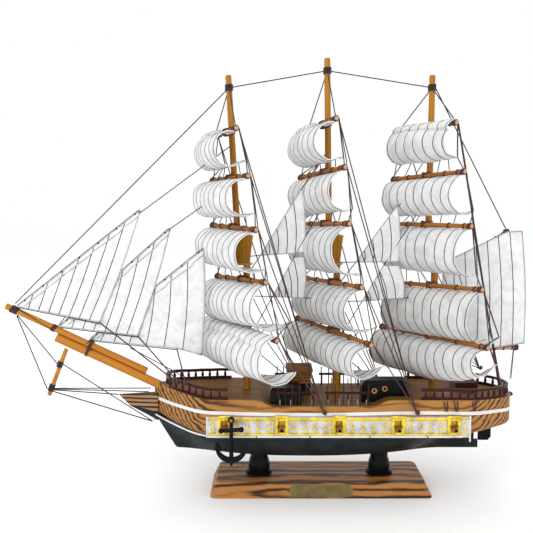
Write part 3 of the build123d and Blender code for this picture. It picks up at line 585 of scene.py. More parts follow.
# For each square sail: drop, belly, length and rise of the foot's turned-back corners, how much of the head
# lies over the front of the yard at the starboard and at the port end, how much of the belly and of the
# drop is lost towards the port end, and how far the middle of the foot is pulled to port
SAILS = {
    "fore": [(30, 24, 8, 0.1, 1, 0, 0.1, 0.0, 0), (33, 24, 5, 0.1, 0, 0, 0.1, 0.0, 0),
             (36, 22, 10, 0.0, 0, 0, 0.05, 0.0, 0), (40, 23, 7, 0.5, 0, 0, 0.42, 0.0, 0),
             (39, 23, 2, 1.0, 1, 1, 0.3, 0.03, 4)],
    "main": [(34, 24, 6, 0.1, 1, 0, 0.1, 0.0, 0), (36, 17, 4, 0.1, 0, 0, 0.0, 0.0, 3),
             (43, 17, 4, 0.1, 0, 0, 0.0, 0.0, 3), (40, 17, 7, 0.3, 0, 0, 0.1, 0.05, 8),
             (32, 19, 12, 0.6, 0, 0, 0.1, 0.1, 13)],
    "mizzen": [(31, 20, 1, 0.0, 1, 1, 0.45, 0.1, 10), (35, 18, 3, 0.4, 0, 0, 0.2, 0.0, 4),
               (42, 18, 3, 0.1, 0, 0, 0.1, 0.0, 4), (46, 18, 5, 0.5, 0, 0, 0.1, 0.0, 8),
               (37, 20, 12, 0.5, 0, 0, 0.3, 0.38, 13)],
}
# sails that get the darker cloth, which is painted shade
SHADED_SAILS = ("main_lower_topsail", "main_course", "mizzen_royal", "mizzen_lower_topsail",
                "mizzen_course")


def on_topmast(name, z):
    """The point at a height on the middle line of a topmast."""
    _, heel_x, tip_x, tip_z, _ = MASTS[name]
    return heel_x + (z - HEEL_Z) / (tip_z - HEEL_Z) * (tip_x - heel_x), 0.0, z


def yard_frame(name, level):
    """A yard's centre, and its directions: port end, forward, up the mast."""
    mast_x, heel_x, tip_x, tip_z, yards = MASTS[name]
    z, _, brace, cant, shift = yards[level]
    high = z > NEST_TOP_Z
    w = unit([tip_x - heel_x if high else 0.0, 0.0, tip_z - HEEL_Z])
    u = np.array([math.sin(math.radians(brace)), -math.cos(math.radians(brace)), 0.0])
    u = unit(u - w * u.dot(w))
    n = np.cross(w, u)
    if n[0] > 0:
        n = -n
    cosine, sine = math.cos(math.radians(cant)), math.sin(math.radians(cant))
    u, w = u * cosine + w * sine, w * cosine - u * sine
    pole = on_topmast(name, z) if high else (mast_x, 0.0, z)
    pole_r = TOPMAST_R if high else MAST_R
    center = pole + n * (pole_r + YARD_R + YARD_GAP) + u * shift
    return center, u, n, w


def masthead(name):
    z = MASTS[name][3] - 12.0
    return np.array(on_topmast(name, z))


# ---------------------------------------------------------------- square sails

STRIPE_PITCH = 12.5
SEAM_R = 0.55
HEM_R = 0.55
SAIL_INSET = 2.5
SAIL_ROWS = 44
SAIL_COLUMNS_PER_STRIPE = 8
PANEL_ROWS = 40
PANEL_COLUMNS_PER_STRIPE = 5
CLOTH_T = 0.5
MERGE_REACH = 0.02
FIRST_SEED = 1.3
SEED_STEP = 3.7


def ripple(point, scale, seed):
    return noise.noise(Vector((point[0] / scale + seed, point[1] / scale - seed, point[2] / scale)))


def square_sail_point(s, t, shape):
    """A point of the sail: s runs from -1, starboard, to 1, port, and t down from 0 to 1."""
    (center, u, n, w), reach, sizes, seed = shape
    drop, belly, tail, rise, far_cover, near_cover, slack, lift, skew = sizes
    near = max(0.0, s) ** 1.5
    drop *= 1.0 - lift * near
    # the cloth runs down an arc and, towards the corners, on along a straight turned-back tail
    full = belly * (0.94 + 0.06 * (1 - s * s)) * (1.0 - slack * near)
    radius = (full * full + drop * drop / 4) / (2 * full)
    top = math.atan2(drop / 2, radius - full)
    turned = abs(s) ** 1.3
    bottom = top + (max(math.pi / 2, top) + rise - top) * turned
    arc = radius * (top + bottom)
    length = arc + tail * turned
    run = t * length
    turn = top - min(run, arc) / radius
    straight = max(0.0, run - arc)
    # a covered yard has the head of the cloth laid over its front
    cover = far_cover + (near_cover - far_cover) * min(1.0, max(0.0, 0.5 + 1.5 * s))
    over = max(0.0, 1.0 - t * 6.0) * cover
    head = -(YARD_R + 0.6) + (2 * YARD_R + 1.6) * over
    forward = full - radius + radius * math.cos(turn) + 0.6 - straight * math.sin(-turn)
    forward += (YARD_R + 1.6) * math.sin(math.pi * min(1.0, 0.15 + over * 0.85)) * (over > 0)
    down = head - drop / 2 + radius * math.sin(turn) - straight * math.cos(turn)
    narrow = 1.0 - 0.04 * math.sin(math.pi * t) - 0.02 * t
    point = center + u * (s * reach * narrow) + n * forward + w * down
    # puffs between the seams, creases, and the pull of the foot to port
    outward = n * math.cos(turn) + w * math.sin(turn)
    corner = max(0.0, abs(s) - 0.75) / 0.25 * t * t
    puff = 0.28 * abs(math.sin(math.pi * (s + 1) * reach / STRIPE_PITCH)) * math.sin(math.pi * t)
    shake = 1.1 * ripple(point, 18.0, seed) + 2.0 * corner * ripple(point, 7.0, seed + 5.0)
    sway = 1.6 * ripple((0.0, down, seed * 9.0), 14.0, seed)
    lean = skew * t * (1.0 - s * s) + sway * math.sin(math.pi * t)
    return point + outward * (puff + shake * min(1.0, t * 5.0)) + u * lean


def sheet_mesh(name, grid, body, replaces, look="sail"):
    """A thin cloth piece from a grid of points, thickened."""
    build = Build()
    build.add(grid.reshape(-1, 3), grid_faces(*grid.shape[:2], False, False))
    obj = build.piece(name, look, None, "sail_cloth", replaces)
    merge = bmesh_of(obj.data)
    bmesh.ops.remove_doubles(merge, verts=merge.verts, dist=MERGE_REACH * MM)
    merge.to_mesh(obj.data)
    merge.free()
    thick = obj.modifiers.new("cloth_thickness", "SOLIDIFY")
    thick.thickness = CLOTH_T * MM
    thick.offset = 0.0
    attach(obj, body)
    return obj


def surface_area(grid):
    a, b = grid[:-1, :-1], grid[:-1, 1:]
    c, d = grid[1:, 1:], grid[1:, :-1]
    first = np.linalg.norm(np.cross(b - a, c - a), axis=2).sum() / 2
    second = np.linalg.norm(np.cross(c - a, d - a), axis=2).sum() / 2
    return float(first + second)


def hem_and_seams(name, grid, columns, body, look="sail", bound=False):
    """The rolled hem round a sail and the dark seams sewn down it."""
    hem = Build()
    edge = np.concatenate([grid[0, :], grid[1:, -1], grid[-1, -2::-1], grid[-2:0:-1, 0]])
    keep = [0]
    for i in range(1, len(edge)):
        if np.linalg.norm(edge[i] - edge[keep[-1]]) > 0.3:
            keep.append(i)
    hem.tube(edge[keep], HEM_R, 6, closed=True)
    hem_piece = hem.piece(name + "_hem", look, body, "sail_cloth")
    seams = Build()
    lines = [grid[:, j] for j in columns] + ([grid[0], grid[-1]] if bound else [])
    for line in lines:
        seams.tube(line, SEAM_R, 6)
    return [hem_piece, seams.piece(name + "_seams", "seam", body, "black_thread")]


def make_square_sail(mast, level, seed):
    reach = MASTS[mast][4][level][1] - SAIL_INSET
    shape = (yard_frame(mast, level), reach, SAILS[mast][level], seed)
    stripes = int(round(2 * reach / STRIPE_PITCH))
    columns = stripes * SAIL_COLUMNS_PER_STRIPE + 1
    grid = np.array([[square_sail_point(s, t, shape) for s in np.linspace(-1, 1, columns)]
                     for t in np.linspace(0, 1, SAIL_ROWS)])
    name = f"{mast}_{SAIL_NAMES[level]}"
    body = mast + "_yard_set"
    # these sails get the darker cloth as painted shade
    look = "shaded_sail" if name in SHADED_SAILS else "sail"
    obj = sheet_mesh("cloth_" + name, grid, body, [name], look)
    seams = [k * SAIL_COLUMNS_PER_STRIPE for k in range(1, stripes)] + [1, columns - 2]
    extra = hem_and_seams(name, grid, seams, body, look)
    2 * reach * MM
    mast + "_yards"
    return grid


# ---------------------------------------------------------------- fore-and-aft sails

def along_line(line, share):
    line = np.asarray(line, float)
    steps = np.linalg.norm(np.diff(line, axis=0), axis=1)
    total = np.concatenate([[0], np.cumsum(steps)])
    return np.array([np.interp(share * total[-1], total, line[:, k]) for k in range(2)])


def turned_luff(name, grid, hem_drop, body):
    """The edge of the cloth that is folded over the luff, on both sides of the sail."""
    build = Build()
    last_row = len(grid) - 1
    line = []
    for j in range(3, grid.shape[1]):
        height = grid[0, j][2] - grid[-1, j][2]
        row = min(last_row, round(hem_drop / max(hem_drop, height) * last_row))
        line.append(grid[row, j])
    for offset in (-0.55, 0.55):
        build.tube(np.array(line) + (0.0, offset, 0.0), 0.5, 6)
    # the fold is drawn in the grey hem cloth, as painted shade
    return build.piece(name + "_luff_hem", "hem", body, "sail_cloth")


def make_panel_sail(name, luff, foot, y, belly, stripes, body, replaces, seed, crinkle=0.5,
                    slant=1.0, hem_drop=0.0):
    """A flat-cut sail between an upper and a lower edge, with seams across it and a turned luff."""
    per = PANEL_COLUMNS_PER_STRIPE
    columns = (stripes + 1) * per + 1
    grid = np.zeros((PANEL_ROWS, columns, 3))
    for j in range(columns):
        k = j / (columns - 1)
        high = along_line(luff, k)
        low = along_line(foot, k ** slant)
        for i in range(PANEL_ROWS):
            m = i / (PANEL_ROWS - 1)
            x, z = high + (low - high) * m
            depth = math.sin(math.pi * m) * math.sin(math.pi * min(1.0, 0.15 + 0.85 * k))
            fold = crinkle * ripple((x, 0, z), 11.0, seed) + 0.5 * crinkle * ripple((x, 5, z), 4.0, seed)
            edge = min(1.0, 6 * m, 6 * (1 - m), 6 * (1 - k) + 0.15)
            sway = 3.0 * math.sin(math.pi * m) * (0.2 + k)
            grid[i, j] = (x + sway * 0.6, y - belly * depth + fold * edge, z)
    obj = sheet_mesh("cloth_" + name, grid, body, replaces, "jib")
    extra = hem_and_seams(name, grid, [k * per for k in range(1, stripes + 2)], body, "jib", True)
    if hem_drop:
        extra.append(turned_luff(name, grid, hem_drop, body))
    area = surface_area(grid) * MM * MM


# name, luff, foot, place across the ship, belly, stripes, crinkle and slant of the stripes
JIBS = [
    ("flying_jib", [(-296.0, 181.0), (-175.0, 274.6)], [(-296.0, 181.0), (-216.8, 165.2)], -2.4, 4.0, 7, 0.9,
     1.0),
    ("outer_jib", [(-255.5, 160.8), (-146.6, 256.8)], [(-255.5, 160.8), (-179.7, 151.5)], 0.0, 1.2, 6, 0.9,
     1.0),
    ("inner_jib", [(-227.0, 147.0), (-114.0, 237.0)], [(-227.0, 147.0), (-141.3, 138.3), (-117.0, 131.5)],
     2.4, 1.2, 6, 1.7, 1.25),
]
# luff and foot of each, from fore to aft
STAYSAILS = [
    ([(-58.5, 231.0), (-18.5, 296.0)], [(-58.5, 231.0), (-16.0, 234.0)]),
    ([(-46.5, 190.5), (-26.0, 228.5), (-16.0, 230.0)], [(-46.5, 190.5), (-16.0, 189.0)]),
    ([(35.0, 224.5), (74.5, 279.5)], [(35.0, 224.5), (76.5, 225.0)]),
    ([(41.5, 186.0), (62.0, 221.0), (77.0, 221.0)], [(41.5, 186.0), (82.5, 189.0)]),
]
SPANKER_TOP = [(119.0, 223.4), (181.0, 254.0), (195.5, 254.8)]
SPANKER_FOOT = [(119.0, 137.6), (166.4, 139.2), (200.8, 144.6)]
SPANKER_Y = -2.85
JIB_LUFF_HEM = 6.0


def make_fore_and_aft_sails():
    for i, (name, luff, foot, y, belly, stripes, crinkle, slant) in enumerate(JIBS):
        make_panel_sail(name, luff, foot, y, belly, stripes, "root", [name], 11.0 + i, crinkle,
                        slant, JIB_LUFF_HEM)
    for i, (luff, foot) in enumerate(STAYSAILS):
        make_panel_sail(f"staysail_{i + 1}", luff, foot, 0.0, 1.0, 4, "root", ["staysails"],
                        21.0 + i)
    make_panel_sail("spanker_sail", SPANKER_TOP, SPANKER_FOOT, SPANKER_Y, 2.0, 6, "spanker_set", ["spanker"],
                    31.0, 0.8)


# ---------------------------------------------------------------- threads that stay with the hull

TIP = np.array([-308.5, 0.0, 181.0])
STRIKER_FOOT = np.array([-268.5, 0.0, 92.0])
STRIKER_MIDDLE = np.array([-257.0, 0.0, 123.0])
STRIKER_WAY = (0.364, 0.0, 0.931)
STEM_EYE = np.array([-166.0, 0.0, 65.0])


def make_stays():
    build = Build()
    clear = TOPMAST_R + 0.3
    heads = [masthead(name) for name in MASTS]
    nose = TIP + (9.0, 0.0, 2.6)
    for a, b in ((heads[0], heads[1]), (heads[1], heads[2]), (heads[0], nose)):
        way = unit(b - a)
        build.thread(a + way * clear, b - way * clear * (b is not nose), 0.52)
    foot = STRIKER_FOOT + (1.0, 0.0, 5.0)
    build.thread(TIP + (10.0, 0.0, -9.5), foot + (-3.0, 0, 1.0), 0.56)
    build.thread(TIP + (10.5, 0.0, -9.0), STRIKER_MIDDLE + (-2.6, 0, 0), 0.54)
    build.thread(STRIKER_MIDDLE + (2.6, 0, 0), STEM_EYE, 0.54)
    build.thread(foot + (3.0, 0, -1.5), STEM_EYE, 0.6)
    build.thread(foot + (3.0, 0, 0.0), (-199.6, 0.0, 92.4), 0.56)
    for side in (-1, 1):
        build.thread(foot + (3.0, side * 1.2, 1.2), (-168.5, side * 7.0, 97.0), 0.52)
    for head in heads:
        build.wraps(head, (0, 0, 1), TOPMAST_R + 0.4, 0.5, 6)
    build.wraps(TIP + (9.0, 0, -4.0), JIB_WAY, 3.6, 0.4, 7)
    build.wraps((-266.0, 0.0, 99.5), STRIKER_WAY, 2.6, 0.5, 7)
    build.wraps(STRIKER_MIDDLE, STRIKER_WAY, 2.6, 0.5, 6)
    build.piece("standing_stays", "dark", "root", "black_thread", ["stays"])


def make_sail_stays():
    """Threads that carry the luffs of the jibs and the staysails on to the masts."""
    build = Build()
    runs = [
        ((-175.0, -2.4, 272.6), on_topmast("fore", 338)),
        ((-146.6, 0.0, 256.8), on_topmast("fore", 301)),
        ((-114.0, 2.4, 237.0), on_topmast("fore", 262)),
        ((-296.0, -2.4, 180.0), (-300.5, 0.0, 180.0)),
        ((-255.5, 0.0, 160.8), (-258.5, 0.0, 159.5)),
        ((-227.0, 2.4, 147.0), (-230.0, 0.0, 146.0)),
        ((-58.5, 0, 231.0), (-68.5, 0, 216.0)), ((-18.5, 0, 296.0), on_topmast("main", 333)),
        ((-46.5, 0, 190.5), (-68.5, 0, 152.0)), ((-26.0, 0, 228.5), on_topmast("main", 289)),
        ((35.0, 0, 224.5), (20.0, 0, 205.0)), ((76.5, 0, 279.5), on_topmast("mizzen", 314)),
        ((41.5, 0, 186.0), (20.0, 0, 150.0)), ((62.0, 0, 221.0), on_topmast("mizzen", 290)),
        ((-58.5, 0, 231.0), (-70.0, 0, 230.0)), ((-16.0, 0, 234.0), (10.0, 0, 235.0)),
        ((-46.5, 0, 190.5), (-70.0, 0, 191.0)), ((-16.0, 0, 189.0), (14.0, 0, 188.5)),
        ((35.0, 0, 224.5), (18.0, 0, 224.0)), ((82.5, 0, 225.0), (106.0, 0, 226.0)),
        ((41.5, 0, 186.0), (18.0, 0, 185.5)), ((82.5, 0, 189.0), (109.0, 0, 190.0)),
    ]
    for start, end in runs:
        build.thread(start, end, 0.45)
    build.piece("sail_stays", "dark", "root", "black_thread")


# short threads from the jibs' corners down to the jib boom and the bowsprit
JIB_TACKS = [((-295.5, -2.4, 178.0), (-262.0, -3.0, 157.5)), ((-251.0, -1.0, 170.0), (-258.2, -3.0, 160.2)),
             ((-219.4, 0.0, 153.2), (-230.0, -3.0, 143.7)), ((-223.0, 2.4, 144.4), (-226.0, -3.0, 138.0)),
             ((-187.6, 2.4, 138.7), (-126.0, -20.0, 112.0))]
JIB_SHEETS = [((-217.0, -2.4, 165.4), (-141.0, -24.0, 112.5)), ((-180.0, 0.0, 151.5), (-137.0, -27.5, 112.0)),
              ((-141.5, 2.4, 138.4), (-129.5, -31.0, 111.5))]
HANK_PITCH = 23.0


def make_jib_threads():
    """Hanks along the luffs, the stays they ride on, the foot threads and the tacks."""
    build = Build()
    for _, luff, foot, y, *_ in JIBS:
        tack, head, clew = (np.array([x, y, z]) for x, z in (luff[0], luff[1], foot[1]))
        way = unit(head - tack)
        off = np.array([-way[2], 0.0, way[0]]) * 1.3
        build.thread(tack + off, head + off, 0.42)
        count = int(np.linalg.norm(head - tack) / HANK_PITCH)
        for k in range(count + 1):
            spot = tack + (head - tack) * (0.06 + 0.9 * k / count) + off * 0.5
            build.wraps(spot, way, 0.8, 0.3, 2.5, 0.7)
        build.thread(tack - (0, 0, 1.2), clew - (0, 0, 1.4), 0.45)
    for start, end in JIB_TACKS:
        build.thread(start, end, 0.48)
    build.piece("jib_threads", "dark", "root", "black_thread")


def make_jib_sheets():
    """Brown twisted cords from the jibs' lower corners to the bow rail."""
    build = Build()
    for start, end in JIB_SHEETS:
        build.rope(start, end, 0.75)
        build.wraps(end, (0, 0, 1), 1.8, 0.5, 4)
    build.piece("jib_sheets", "brown", "root", "brown_thread")


def make_boom_lashings():
    """Wraps that tie the jib boom to the bowsprit."""
    build = Build()
    way = np.array(JIB_WAY)
    below = np.array([way[2], 0.0, -way[0]])
    build.wraps(TIP + way * 51.0, way, 3.5, 0.5, 4)
    center = TIP + way * 91.0 + below * 3.5
    turn = np.linspace(0, math.tau, 30, endpoint=False)
    for k in (-1, 0, 1):
        loop = around(turn, below * 8.6, (0.0, 4.9, 0.0))
        build.tube(center + way * k * 0.95 + loop, 0.55, 6, closed=True)
    build.wraps(TIP + way * 8.3, way, 3.6, 0.5, 6)
    build.piece("boom_lashings", "brown", "root", "black_thread")


# ---------------------------------------------------------------- threads that swing with the yards

CORNER_CORD_R = 0.7
SHEET_CORD_R = 0.6
LEECH_LINE_R = 0.48
FOOT_TIE_R = 0.42
LIFT_R = 0.54


def cross_lashing(build, name, level):
    """Turns of thread laid crosswise over a yard and round its mast."""
    center, u, n, w = yard_frame(name, level)
    z, _, _, _, shift = MASTS[name][4][level]
    center = center - u * shift
    pole_r = TOPMAST_R if z > NEST_TOP_Z else MAST_R
    pole = center - n * (pole_r + YARD_R + YARD_GAP)
    for slant in (-1, 1):
        for k in range(3):
            rise = 2.9 + 0.7 * k
            wide = pole_r + 0.2
            points = [
                center + u * slant * wide * 0.8 + n * (YARD_R * 0.55) + w * rise * 0.72,
                center + n * (YARD_R + 0.5 + 0.12 * k),
                center - u * slant * wide * 0.8 + n * (YARD_R * 0.55) - w * rise * 0.72,
                center - u * slant * wide * 1.05 - n * YARD_R - w * rise * 0.8,
                pole - u * slant * (pole_r + 0.5) - w * rise * 0.55,
                pole - n * (pole_r + 0.5),
                pole + u * slant * (pole_r + 0.5) + w * rise * 0.55,
                center + u * slant * wide * 1.05 - n * YARD_R + w * rise * 0.8,
            ]
            build.tube(smooth_loop(points, 5), 0.4, 6, closed=True)


def smooth_loop(points, per):
    """A closed curve through the points."""
    points = np.asarray(points, float)
    count = len(points)
    line = []
    for i in range(count):
        p0, p1, p2, p3 = (points[(i + k - 1) % count] for k in range(4))
        for j in range(per):
            t = j / per
            line.append(0.5 * (2 * p1 + (p2 - p0) * t + (2 * p0 - 5 * p1 + 4 * p2 - p3) * t * t
                               + (3 * p1 - p0 - 3 * p2 + p3) * t ** 3))
    return np.array(line)


def make_yard_threads(name, grids):
    """Lashings, leech lines, lifts and the cords that hold the sails' corners."""
    body = name + "_yard_set"
    yards = MASTS[name][4]
    dark, brown = Build(), Build()
    frames = [yard_frame(name, level) for level in range(5)]
    for level, (center, u, n, w) in enumerate(frames):
        half = yards[level][1]
        cross_lashing(brown, name, level)
        ties = ((half - 2.6, 0.2, 0.5, 4), (half - 9.0, 0.25, 0.35, 2), (half * 0.5, 0.3, 0.35, 2))
        for side, (along, gap, thread_r, turns) in itertools.product((-1, 1), ties):
            brown.wraps(center + u * side * along, u, YARD_R + gap, thread_r, turns)
    for level in range(5):
        for side in (-1, 1):
            center, u, n, w = frames[level]
            yard_end = center + u * side * (yards[level][1] - 2.0) - n * (YARD_R + 0.5)
            corner = grids[level][-1, -1 if side > 0 else 0]
            brown.rope(yard_end, corner, CORNER_CORD_R)
            if level == 4:
                continue
            low_center, low_u, low_n, low_w = frames[level + 1]
            low_end = low_center + low_u * side * (yards[level + 1][1] - 2.0) + low_w * (YARD_R + 0.3)
            brown.rope(corner, low_end, SHEET_CORD_R)
            dark.thread(yard_end + u * side, low_end + low_u * side * 1.2 - low_n * 2.0, LEECH_LINE_R)
            for share in (0.33, 0.67):
                columns = grids[level].shape[1]
                foot = grids[level][-1, int((0.5 + side * share / 2) * (columns - 1))]
                spot = low_center + low_u * side * share * yards[level + 1][1] * 0.9 + low_w * (YARD_R + 0.2)
                dark.thread(foot, spot, FOOT_TIE_R)
    head = masthead(name)
    center, u, n, w = frames[0]
    for side in (-1, 1):
        end = center + u * side * (yards[0][1] - 3.0) + w * (YARD_R + 0.2)
        way = unit(end - head)
        dark.thread(head + way * (TOPMAST_R + 0.6), end, LIFT_R)
    dark.piece(name + "_black_threads", "dark", body, "black_thread", [name + "_yard_lines"])
    brown.piece(name + "_brown_threads", "brown", body, "brown_thread")


# port and starboard station, half width and height of the feet
BACKSTAY_FEET = {"fore": (0.5, -18.0, 46.4, 86.0), "main": (87.0, 68.0, 46.4, 86.0),
                 "mizzen": (168.0, 168.0, 30.0, 110.0)}


def make_backstays(name):
    """Cords from the yard ends aft and down to the hull."""
    build = Build()
    port_x, starboard_x, foot_y, foot_z = BACKSTAY_FEET[name]
    for side, foot_x in ((1, port_x), (-1, starboard_x)):
        for level, yard in enumerate(MASTS[name][4]):
            center, u, n, _ = yard_frame(name, level)
            start = center + u * side * (yard[1] - 1.5) - n * (YARD_R + 0.3)
            end = np.array([foot_x + level * 0.5, -side * (foot_y + level * 1.1), foot_z])
            build.rope(start, end, 0.6)
        knot = (foot_x + 1.0, -side * (foot_y + 2.2), foot_z + 2.0)
        build.wraps(knot, (0, 0, 1), 1.7, 0.45, 3)
    obj = build.piece(name + "_backstays", "brown", None, "brown_thread", ["backstays"])
    name + "_yard_set"
    (MASTS[name][4][-1][0] - 5.0) * MM
    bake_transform(obj)


SPAR_TIES = 9


def make_spanker_threads():
    """The gaff's halyard and the boom's sheet, and ties round both spars."""
    halyard = Build()
    head = masthead("mizzen")
    halyard.thread(head + (3.2, 0, 0), (181.0, 0, 256.0), 0.54)
    obj = halyard.piece("gaff_halyard", "dark", None, "black_thread")
    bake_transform(obj)
    sheet = Build()
    sheet.rope((192.0, 0, 138.0), (190.0, 0, 108.0), 0.42)
    sheet.rope((192.0, 1.6, 138.0), (190.0, 3.0, 108.0), 0.42)
    obj = sheet.piece("boom_sheet", "dark", None, "black_thread")
    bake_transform(obj)
    ties = Build()
    gaff = (np.array([117.4, 0, 216.5]), np.array([183.0, 0, 254.3]))
    boom = (np.array([117.4, 0, 137.0]), np.array([195.7, 0, 140.0]))
    for start, end in (gaff, boom):
        for k in range(SPAR_TIES):
            spot = start + (end - start) * (k + 0.7) / (SPAR_TIES + 0.4)
            ties.wraps(spot, end - start, 2.2, 0.35, 2)
    for end in (gaff[1], boom[1]):
        ties.wraps(end - (2.0, 0, 0.4), (1, 0, 0.2), 2.4, 0.45, 5)
    ties.piece("spanker_ties", "brown", "spanker_set", "brown_thread")


# ---------------------------------------------------------------- hull trim

def side_y(node, x):
    """How far out the port side of a node is at a station."""
    outline = SIDE_LINES[node]
    return float(np.interp(x, outline[0], outline[1]))


def side_line(node, low_z, high_z):
    """Outermost reach of a node on the port side, by station."""
    points = node_points(node)
    points = points[(points[:, 1] < -4.0) & (points[:, 2] > low_z) & (points[:, 2] < high_z)]
    stations = {}
    for x, y, _ in points:
        key = round(x, 1)
        stations[key] = max(stations.get(key, 0.0), -y)
    keys = sorted(stations)
    return np.array(keys), np.array([stations[k] for k in keys])


SIDE_LINES = {"strip": side_line("gun_strips", 60.0, 90.0), "hull": side_line("upper_hull", 60.0, 84.0)}
STRIP_LOW, STRIP_HIGH = 64.3, 83.4
STRIP_X0, STRIP_X1 = -109.0, 138.5
CANNON_X = (-91.7, -38.6, 15.0, 70.3, 122.6)
CANNON_DROOP = math.radians(8.0)
CANNON_ROOT = (39.0, 74.5)
NAIL_X = (-62.0, -12.0, 44.0, 98.0)
SCROLL_PITCH = 9.4
# the long bars of a strip: piece, from, to, low edge, high edge and how far they stand proud
STRIP_BARS = [
    ("gold", STRIP_X0 + 1.6, STRIP_X1 - 1.4, STRIP_HIGH - 2.8, STRIP_HIGH - 0.6, 0.9),
    ("gold", STRIP_X0 + 1.6, STRIP_X1 - 1.4, STRIP_HIGH - 4.3, STRIP_HIGH - 3.4, 0.5),
    ("gold", STRIP_X0 + 1.6, STRIP_X1 - 1.4, STRIP_LOW + 1.4, STRIP_LOW + 3.2, 0.9),
    ("white", STRIP_X0, STRIP_X1, STRIP_LOW - 0.9, STRIP_LOW + 0.9, 0.5),
    ("white", STRIP_X0, STRIP_X0 + 1.5, STRIP_LOW - 0.9, STRIP_HIGH, 1.1),
    ("white", STRIP_X1 - 1.3, STRIP_X1, STRIP_LOW - 5.0, STRIP_HIGH + 0.6, 1.1),
]
# the bars of a gun port's frame, with their ends counted from the cannon
PORT_BARS = [
    ("gold", -6.3, -3.0, STRIP_LOW + 3.2, STRIP_HIGH - 1.0, 1.3),
    ("gold", 3.0, 6.3, STRIP_LOW + 3.2, STRIP_HIGH - 1.0, 1.3),
    ("gold", -3.2, 3.2, STRIP_HIGH - 4.0, STRIP_HIGH - 1.0, 1.3),
    ("gold", -3.2, 3.2, STRIP_LOW + 2.0, STRIP_LOW + 4.4, 1.3),
    ("gold", -6.8, 6.8, STRIP_HIGH - 1.2, STRIP_HIGH + 1.2, 2.0),
    ("amber", -3.0, 3.0, STRIP_LOW + 4.2, STRIP_HIGH - 3.8, 0.25),
]
PORT_HALF = 6.5


def bar_along(build, x0, x1, z0, z1, proud, side):
    """A bar that follows the strip's face between two stations."""
    stations = np.linspace(x0, x1, max(2, int((x1 - x0) / 5.0) + 1))
    edge = min(0.3, proud * 0.4)
    profile = [(-0.1, z0), (proud - edge, z0), (proud, z0 + edge), (proud, z1 - edge), (proud - edge, z1),
               (-0.1, z1)]
    points = [(x, side * (side_y("strip", x) + out), z) for x in stations for out, z in profile]
    count = len(profile)
    faces = grid_faces(len(stations), count, False, True)
    faces.extend([range(count), range(len(points) - count, len(points))])
    build.add(points, faces)


def curl(x, z, radii, start, sweep, shrink, steps, hand):
    """Points (x, z) of an arc, in half turns, that may tighten towards its end."""
    points = []
    for k in range(steps + 1):
        share = k / steps
        angle = (start + share * sweep) * math.pi
        size = 1.0 - shrink * share
        points.append((x + hand * radii[0] * size * math.cos(angle), z + radii[1] * size * math.sin(angle)))
    return points


def scroll(build, x, side, hand):
    """One S-scroll on a small foot, standing on the lower rail."""
    foot_z = STRIP_LOW + 4.2
    bowl = curl(x, foot_z + 2.8, (2.5, 2.5), -0.5, 1.55, 0.42, 25, hand)
    hook = curl(x - hand * 0.2, foot_z + 7.2, (1.7, 1.9), 1.05, -1.35, 0.0, 15, hand)
    for path, radius in ((bowl, 0.75), (hook, 0.7)):
        build.tube([(px, side * (side_y("strip", px) + 0.35), pz) for px, pz in path], radius, 6)
    y = side * (side_y("strip", x) + 0.3)
    build.tube([(x - 2.4, y, foot_z - 0.2), (x + 2.4, y, foot_z - 0.2)], 0.5, 6)
    build.tube([(x, y, foot_z - 0.4), (x, y, foot_z + 0.9)], 0.75, 6)


def make_gun_strip():
    builds = {"gold": Build(), "white": Build(), "amber": Build(), "black": Build()}
    port_edges = [x + half for x in CANNON_X for half in (-PORT_HALF, PORT_HALF)]
    edges = [STRIP_X0 + 1.5, *port_edges, STRIP_X1 - 1.3]
    for side in (-1, 1):
        for look, *bar in STRIP_BARS:
            bar_along(builds[look], *bar, side)
        for x in CANNON_X:
            for look, x0, x1, *bar in PORT_BARS:
                bar_along(builds[look], x + x0, x + x1, *bar, side)
        for low, high in zip(edges[::2], edges[1::2]):
            fill_panel(builds["gold"], low, high, side)
        for x in NAIL_X:
            builds["black"].lathe([(0, -0.3), (0.7, -0.3), (0.7, 0.2), (0.3, 0.4), (0, 0.4)],
                                  (x, side * (side_y("strip", x) + 0.5), STRIP_LOW), 10, (0, side, 0))
    builds["gold"].piece("gold_rails_and_scrolls", "gold", "root", "gold_foil")
    builds["white"].piece("strip_borders", "white", "root", "white_trim")
    builds["amber"].piece("gun_port_recesses", "amber", "root", "cannon_brass")
    builds["black"].piece("strip_nails", "black", "root", "black_paint")


def fill_panel(build, low, high, side):
    """Scrolls between two gun ports, which turn round halfway, and uprights at a whole panel's ends."""
    count = max(1, int((high - low) / SCROLL_PITCH))
    step = (high - low) / count
    for k in range(count):
        scroll(build, low + step * (k + 0.5), side, 1 if k < count / 2 else -1)
    if low > STRIP_X0 + 3 and high < STRIP_X1 - 3:
        for x in (low + 1.0, high - 1.0):
            bar_along(build, x - 0.4, x + 0.4, STRIP_LOW + 3.2, STRIP_HIGH - 4.3, 0.4, side)


def make_cannon_trim():
    """Rings and a black mouth on each barrel."""
    rings, muzzles = Build(), Build()
    points = node_points("cannons")
    mouth = points[points[:, 1] < points[:, 1].min() + 0.8]
    mouth_y, mouth_z = float(-mouth[:, 1].mean()), float(mouth[:, 2].mean())
    for side, x in itertools.product((-1, 1), CANNON_X):
        way = np.array([0.0, side * math.cos(CANNON_DROOP), -math.sin(CANNON_DROOP)])
        start = np.array([x, side * CANNON_ROOT[0], CANNON_ROOT[1]])
        for along, radius in ((8.2, 2.5), (10.4, 2.2), (13.0, 2.1)):
            rings.wraps(start + way * along, way, radius, 0.35, 1.02, 0.02)
        muzzles.lathe([(0, -0.4), (1.7, -0.4), (1.7, 0.15), (0, 0.15)], (x, side * mouth_y, mouth_z), 16, way)
    rings.piece("cannon_rings", "gun", "root", "cannon_brass")
    muzzles.piece("cannon_muzzles", "black", "root", "cannon_brass")


